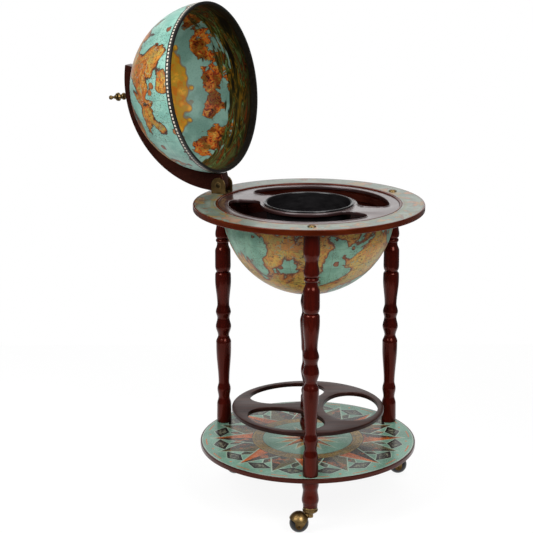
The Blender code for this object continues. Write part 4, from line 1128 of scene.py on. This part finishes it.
def hinge_bracket():
    """A brass fork: base, two round-topped ears, and a raised ring round the pin."""
    ear_loop = [(-EAR_R, 0), (EAR_R, 0)] + arc(EAR_R, 0, pi, 2 * LONG_ARC_STEPS, (0, PIN_RISE))
    steps = []
    for side in (-1, 1):
        place = move(0, side * (FORK_IN_W + EAR_T) / 2, 0) @ UPRIGHT
        steps.append(("UNION", plate_mesh([ear_loop], EAR_T, BRACKET_ROUNDING), place))
    steps.append(("DIFFERENCE", rod_mesh(PIN_R + GAP, FORK_W), move(0, 0, PIN_RISE) @ UPRIGHT))
    base = box_mesh((2 * EAR_R, FORK_W, BRACKET_BASE_T), (0, 0, BRACKET_BASE_T / 2), BRACKET_ROUNDING)
    add_piece("bracket_fork", cut(base, steps), FORK_PLACE, "brass", [DARK_BRASS], "hinge_bracket")
    boss = eased([(PIN_R + GAP, 0, 0), (PIN_R + GAP, BOSS_T, EDGE), (BOSS_R, BOSS_T, EDGE),
                  (BOSS_R, 0, 0)])
    for side, name in ((-1, "near"), (1, "far")):
        place = FORK_PLACE @ move(0, side * FORK_W / 2, PIN_RISE) @ spin(side * -QUARTER, "X")
        add_turned(f"bracket_boss_{name}", boss, SMALL_SIDES, place, "brass", [BRASS], closed=True)


def hinge_pin():
    half = FORK_W / 2 + GAP
    pin = head_outline(PIN_HEAD_R, PIN_HEAD_H, half, PIN_HEAD_STEPS)
    pin += [(PIN_HEAD_R, half), (PIN_R, half)]
    pin += [(radius, -height) for radius, height in pin[::-1]]
    add_turned("hinge_pin_domed", pin, SMALL_SIDES, FORK_PLACE @ move(0, 0, PIN_RISE) @ UPRIGHT,
               "brass", [PIN_BRASS], "hinge_pin")


def hinge_screws():
    """Small round-headed screws, each with its driver slot."""
    reach = SCREW_REACH + BRACKET_BASE_T
    outline = head_outline(SCREW_HEAD_R, SCREW_HEAD_H, 0, SCREW_HEAD_STEPS)
    outline += [(SCREW_R, 0), (SCREW_R, -reach), (0, -reach)]
    places = [(x, y) for x in (-SCREW_ALONG, SCREW_ALONG) for y in (-SCREW_ACROSS, SCREW_ACROSS)]
    for number, (x, y) in enumerate(places, 1):
        slot = box_mesh((SCREW_SLOT_L, EDGE, EDGE), rounding=TINY)
        place = frame_at((0, 0, SCREW_HEAD_H), SCREW_SLOT_TURN * number)
        mesh = cut(lathe_mesh(outline, SMALL_SIDES), [("DIFFERENCE", slot, place)])
        add_piece(f"bracket_screw_{number}", mesh, FORK_PLACE @ move(x, y, BRACKET_BASE_T + GAP),
                  "brass", [BRASS], f"hinge_screw_{number}")


# Legs, feet and bolt caps

LEG_R = 0.017
LEG_SHARES = (
    (1, 0.92), (0.923, 0.99), (0.883, 0.76), (0.842, 0.93), (0.8265, 0.8, True),
    (0.8225, 0.69, True), (0.815, 0.86), (0.806, 0.71, True), (0.796, 0.73), (0.768, 0.97),
    (0.704, 0.98), (0.677, 0.71, True), (0.661, 0.99), (0.64, 1), (0.531, 0.75), (0.498, 0.95),
    (0.471, 0.77), (0.432, 0.97), (0.392, 0.7), (0.364, 0.95), (0.335, 0.95), (0.181, 0.69),
    (0.15, 0.86), (0.113, 0.72), (0.081, 0.91), (0.01, 0.94), (0, 0.9, True),
)
FOOT_R = 0.0174
FOOT_SHARES = ((1, 0.96), (0.985, 1), (0.84, 0.98), (0.62, 0.86), (0.26, 1), (0.06, 0.86),
               (0, 0.8, True))
TENON_R = FOOT_R * 0.72
CAP_R = 0.0085
CAP_H = 0.003
CAP_SHARES = ((0, 1), (0.3, 0.96), (0.5, 0.74), (0.58, 0.46), (0.66, 0.5), (0.78, 0.66),
              (0.9, 0.52), (0.98, 0.24), (1, 0), (0, 0))


def leg(side):
    """A turned leg: vases, beads and long tapers, crisp where the beads meet their grooves."""
    node = f"leg_{side}"
    height = height_of(node)
    outline = [(0, height)] + turning(LEG_SHARES, height, LEG_R) + [(0, 0)]
    add_turned(f"turned_{node}", outline, POST_SIDES, stand(node, QUARTER), "mahogany", [MAHOGANY], node)


def foot(side):
    node = f"foot_{side}"
    height = height_of(node)
    tenon = high(f"caster_socket_{side}").z + GAP - low(node).z
    outline = [(0, height)] + turning(FOOT_SHARES, height - tenon, FOOT_R, tenon)
    outline += [(TENON_R, tenon), (TENON_R, 0), (0, 0)]
    add_turned(f"turned_{node}", outline, POST_SIDES, stand(node), "mahogany", [MAHOGANY], node)


def bolt_cap(side):
    """A small brass cover with a turned ring round its button."""
    node = f"bolt_cap_{side}"
    outline = [(CAP_R * wide, CAP_H * tall) for wide, tall in CAP_SHARES]
    add_turned(f"ringed_{node}", outline, POST_SIDES, stand(node), "brass", [DARK_BRASS], node)


# Column, rack and bottom shelf

COLUMN_R = 0.017
DISH_ROWS = 4
COLUMN_SHARES = (
    (1, 0.82), (0.98, 0.82), (0.915, 0.95), (0.825, 0.77), (0.75, 1), (0.53, 0.84),
    (0.486, 0.76, True), (0.396, 0.71), (0.318, 0.89), (0.184, 0.6), (0.137, 0.83),
    (0.105, 0.7, True), (0.07, 0.9), (0, 0.93),
)
COLUMN_LOW_SHARES = ((1, 0.9), (0.84, 0.88), (0.76, 0.72, True), (0.52, 0.98), (0.28, 0.74),
                     (0.18, 0.92), (0, 0.97))


def columns():
    for node, shares in (("column_upper", COLUMN_SHARES), ("column_lower", COLUMN_LOW_SHARES)):
        base = low(node).z
        height = height_of(node)
        outline = turning(shares, height, COLUMN_R) + [(0, 0)]
        top = [(0, height)]
        if node == "column_upper":
            # The top is hollowed to the bowl
            reaches = [outline[0][0] * i / DISH_ROWS for i in range(DISH_ROWS)]
            top = [(reach, BOWL_Z - sqrt((GLOBE_R + GAP) ** 2 - reach ** 2) - base)
                   for reach in reaches]
        add_turned(f"turned_{node}", top + outline, POST_SIDES, over_cart(base), "mahogany",
                   [MAHOGANY], node)


RACK_TURN = radians(-2)
RACK_PLACE_R = 0.09
RACK_HOLE_RADIAL = 0.058
RACK_HOLE_TANGENT = 0.086
RACK_HOLES = 3
RACK_ROUNDING = 0.0018


def bottle_rack():
    """A board with three long ovals and rounded edges."""
    oval = [(RACK_PLACE_R + RACK_HOLE_RADIAL * x, RACK_HOLE_TANGENT * y)
            for x, y in circle(1, WIDE_SIDES // 2)]
    loops = [circle(half_width("bottle_rack"))]
    loops += [turned_loop(oval, RACK_TURN + TURN * i / RACK_HOLES) for i in range(RACK_HOLES)]
    mesh = plate_mesh(loops, height_of("bottle_rack"), RACK_ROUNDING)
    add_piece("rack_board", mesh, over_cart(middle("bottle_rack").z), "dark_wood", [DARK_WOOD],
              "bottle_rack")


SHELF_NOSE = 0.003


def bottom_shelf():
    """The round shelf: paper on top and a lacquered, rounded edge."""
    nose_r = SHELF_R - SHELF_NOSE
    outline = [(BOLT_HOLE_R, SHELF_TOP_Z), (nose_r, SHELF_TOP_Z)]
    outline += eased([(nose_r, SHELF_TOP_Z, 0), (SHELF_R, SHELF_TOP_Z, SHELF_NOSE * 0.7),
                      (SHELF_R, SHELF_LOW_Z, SHELF_NOSE * 0.6), (BOLT_HOLE_R, SHELF_LOW_Z, 0)],
                     NOSE_STEPS)[1:]
    add_turned("shelf_board", outline, WIDE_SIDES, over_cart(), "shelf_print",
               [ROSE_PRINT, SHELF_EDGE_WOOD], "bottom_shelf", closed=True,
               slots=lambda stretch: min(stretch, 1))


# Casters

BALL_R = 0.0195
BALL_FLAT = 0.0186
BALL_SEAM = 0.0005
AXLE_R = 0.002
HOOD_R = 0.0221
HOOD_RISE = 0.0249
HOOD_WALL = 0.0013
HOOD_SPAN = 0.06
HOOD_ROUNDING = 0.0022
HOOD_CORNER_STEPS = 5
TONGUE_R = 0.0076
TONGUE_DROP = 0.0066
TONGUE_END = TURN - radians(22)
TONGUE_STEPS = 8
LUG_R = 0.0062
LUG_LOW_Z = 0.032
LUG_WEB_W = 0.009
LUG_WEB_LOW_Z = 0.0335
LUG_WEB_TOP_Z = 0.0405
STEM_R = 0.004
TRAIL = 0.0225
SOCKET_R = 0.0157
SOCKET_NECK_R = 0.0139
SOCKET_CUP_FIT = 0.0007
SOCKET_SHARES = ((1, 0.94), (0.74, 0.885, True), (0.66, 0.91, True), (0.5, 1), (0.34, 0.97),
                 (0.2, 0.87, True), (0, 0.74, True))


def soft_corners(loop, rounding, steps):
    """A closed loop with its corners rounded."""
    corners = [(*point, rounding) for point in [loop[-1]] + loop + [loop[0]]]
    return eased(corners, steps)[1:-1]


def hood_mesh():
    """The hood about the ball's middle: a pressed dome with a tongue over the axle."""
    far = HOOD_R * 1.2
    brow = HOOD_RISE * 0.4
    loop = [(-far, HOOD_RISE * 0.5), (-HOOD_R * 0.46, brow), (-TONGUE_R, brow * 0.7)]
    loop += arc(TONGUE_R, pi, TONGUE_END, TONGUE_STEPS, (0, TONGUE_R - TONGUE_DROP))
    loop += [(HOOD_R * 0.52, brow * 0.34), (HOOD_R * 0.82, HOOD_RISE * 0.48),
             (far, HOOD_RISE * 0.58), (far, HOOD_RISE * 1.2), (-far, HOOD_RISE * 1.2)]
    lug_top = low("caster_socket_front").z - GAP - BALL_R
    lug_low = LUG_LOW_Z - BALL_R
    lug = eased([(0, lug_top, 0), (LUG_R, lug_top, EDGE), (LUG_R, lug_low, EDGE), (0, lug_low, 0)])
    web_h = LUG_WEB_TOP_Z - LUG_WEB_LOW_Z
    web = box_mesh((TRAIL / 2, LUG_WEB_W, web_h),
                   (TRAIL * 0.75, 0, LUG_WEB_LOW_Z + web_h / 2 - BALL_R))
    at_stem = move(TRAIL, 0, 0)
    loop = soft_corners(loop, HOOD_ROUNDING, HOOD_CORNER_STEPS)
    return cut(dome_mesh(HOOD_R, HOOD_RISE), [
        ("INTERSECT", plate_mesh([loop], HOOD_SPAN, TINY), UPRIGHT),
        ("UNION", lathe_mesh(lug, SMALL_SIDES), at_stem),
        ("UNION", web, FLAT),
        ("DIFFERENCE", dome_mesh(HOOD_R - HOOD_WALL, HOOD_RISE - HOOD_WALL), FLAT),
        ("DIFFERENCE", rod_mesh(STEM_R + GAP, HOOD_SPAN), at_stem),
        ("DIFFERENCE", rod_mesh(AXLE_R + GAP, HOOD_SPAN), UPRIGHT),
    ])


def caster_socket(side):
    """A ringed cup round the foot's tenon."""
    node = f"caster_socket_{side}"
    top, under = high(node).z, low(node).z
    cup_r = TENON_R + SOCKET_CUP_FIT
    seat = low(f"foot_{side}").z - GAP
    outline = [(cup_r, top), (SOCKET_NECK_R, top), (SOCKET_NECK_R + EDGE, top - EDGE)]
    outline += turning(SOCKET_SHARES, top - under - 2 * EDGE, SOCKET_R, under)
    outline += [(STEM_R + GAP, under), (STEM_R + GAP, seat), (cup_r, seat)]
    add_turned(f"ringed_socket_{side}", outline, POST_SIDES,
               frame_at((middle(node).x, middle(node).y, 0)), "brass", [DARK_BRASS], node, closed=True)


def caster(side, hood):
    """A pressed hood, and a ball with a seam round its middle."""
    wheel = Vector(JOINTS[f"roll_{side}"]["pos_m"])
    back = middle(f"caster_socket_{side}") - wheel
    place = frame_at(wheel, atan2(back.y, back.x))
    add_piece(f"pressed_hood_{side}", hood.copy(), place, "brass", [HOOD_BRASS],
              f"caster_hood_{side}", body=f"caster_{side}")

    flat = asin(BALL_FLAT / BALL_R)
    seam = asin(BALL_SEAM / BALL_R)
    bore = AXLE_R + GAP
    outline = [(bore, BALL_FLAT)] + arc(BALL_R, flat, seam, LONG_ARC_STEPS)
    outline += [(BALL_R - BALL_SEAM, 0)] + arc(BALL_R, -seam, -flat, LONG_ARC_STEPS)
    outline.append((bore, -BALL_FLAT))
    add_turned(f"rolling_ball_{side}", outline, BALL_SIDES, place @ UPRIGHT, "ball_plastic", [BALL],
               f"caster_ball_{side}", closed=True, body=f"ball_{side}")


def plate_fixings():
    """The bolts, studs, stems, axles and nut keep their solids and get a metal finish."""
    finishes = {name: STEEL for name in ("bowl_bolt", "rack_stud", "shelf_bolt", "finial_nut")}
    for side in SIDES:
        for name in ("leg_bolt", "foot_stud", "caster_stem"):
            finishes[f"{name}_{side}"] = STEEL
        finishes[f"caster_axle_{side}"] = PIN_BRASS
    for name, material in finishes.items():
        materials = frame["nodes"][name].data.materials
        materials.clear()
        materials.append(material)


# Studio

FLOOR_SIZE = 2
BACKDROP_W = 7.6
BACKDROP_Y = 5.6
BACKDROP_H = 6.8
WHITE = (1, 1, 1)
PALE = (0.85,) * 3
AIM = CART + Vector((-0.02, 0.02, 0.6))
ROOM_LIGHT = 0.16
# Name, azimuth and elevation in degrees from the camera's side, distance, size and power
LAMPS = (
    ("soft_box_left", -48, 36, 2.3, 1.15, 42),
    ("soft_box_right", 29, 34, 2.3, 1.15, 38),
    ("overhead", 170, 72, 2.6, 1.8, 34),
)
CAMERA_PLACE = CART + Vector((-0.092, -3.24, 1.38))
CAMERA_YAW = radians(-0.09)
CAMERA_PITCH = radians(-15.19)
CAMERA_ROLL = radians(-0.11)
CAMERA_LENS = 109.6
SENSOR_W = 36
CAMERA_FAR = 100


def background(name, share, glow_level):
    """White to the eye and in reflections, while a part of it still takes the soft shadow."""
    g = Graph(bpy.data.materials.new(name))
    g.tree.nodes.remove(g.tree.nodes["Principled BSDF"])
    camera_ray, glossy, through = [g.node("LightPath", out=f"Is {kind} Ray")
                                   for kind in ("Camera", "Glossy", "Transmission")]
    seen = g.most(g.most(camera_ray, glossy), through) * share
    matte = g.node("BsdfDiffuse", {"Color": PALE})
    glow = g.node("Emission", {"Color": WHITE, "Strength": glow_level})
    mix = g.node("MixShader", {0: seen, 1: matte, 2: glow})
    g.feed(g.tree.nodes["Material Output"], {"Surface": mix})
    return g.owner


def stage_plane(name, width, depth, matrix, material):
    solid = bmesh.new()
    bmesh.ops.create_grid(solid, x_segments=1, y_segments=1, size=0.5, matrix=sized(width, depth))
    mesh = mesh_of(solid)
    mesh.materials.append(material)
    placed(name, mesh, matrix)


def studio():
    """A pale floor and backdrop, two soft boxes in front, one overhead, and a dim room."""
    stage_plane("floor", FLOOR_SIZE, FLOOR_SIZE, FLAT, background("pale_floor", 0.88, 1.04))
    stage_plane("backdrop", BACKDROP_W, BACKDROP_H, move(0, BACKDROP_Y, BACKDROP_H / 2) @ UPRIGHT,
                background("pale_backdrop", 1, 1))

    room = Graph(bpy.data.worlds.new("room"))
    bpy.context.scene.world = room.owner
    level = room.node("MapRange", {0: room.node("LightPath", out="Is Camera Ray"),
                                   3: ROOM_LIGHT, 4: 1})
    room.feed(room.tree.nodes["Background"], {"Color": WHITE, "Strength": level})

    for name, azimuth, elevation, distance, size, power in LAMPS:
        lamp = bpy.data.lights.new(name, "AREA")
        lamp.shape = "SQUARE"
        lamp.size = size
        lamp.energy = power
        turn, rise = radians(azimuth), radians(elevation)
        away = Vector((sin(turn) * cos(rise), -cos(turn) * cos(rise), sin(rise)))
        facing = away.to_track_quat("Z", "Y").to_matrix().to_4x4()
        placed(name, lamp, Matrix.Translation(AIM + away * distance) @ facing)


def camera():
    data = bpy.data.cameras.new("camera")
    data.lens = CAMERA_LENS
    data.sensor_fit = "HORIZONTAL"
    data.sensor_width = SENSOR_W
    data.clip_end = CAMERA_FAR
    bpy.context.scene.camera = placed("camera", data, frame_at(CAMERA_PLACE, CAMERA_YAW)
                                      @ spin(QUARTER + CAMERA_PITCH, "X") @ spin(CAMERA_ROLL))


def build():
    table_ring()
    tray_plate()
    ice_bucket()
    glass_shelf()
    bowl_hoop()
    lower_bowl()
    lid_shell()
    meridian_arm()
    finial()
    hinge_bracket()
    hinge_pin()
    hinge_screws()
    hood = hood_mesh()
    for side in SIDES:
        leg(side)
        foot(side)
        caster_socket(side)
        caster(side, hood)
    bolt_cap("front")
    bolt_cap("right")
    columns()
    bottle_rack()
    bottom_shelf()
    plate_fixings()
    studio()
    camera()
    bpy.context.scene.view_settings.view_transform = "Standard"


build()
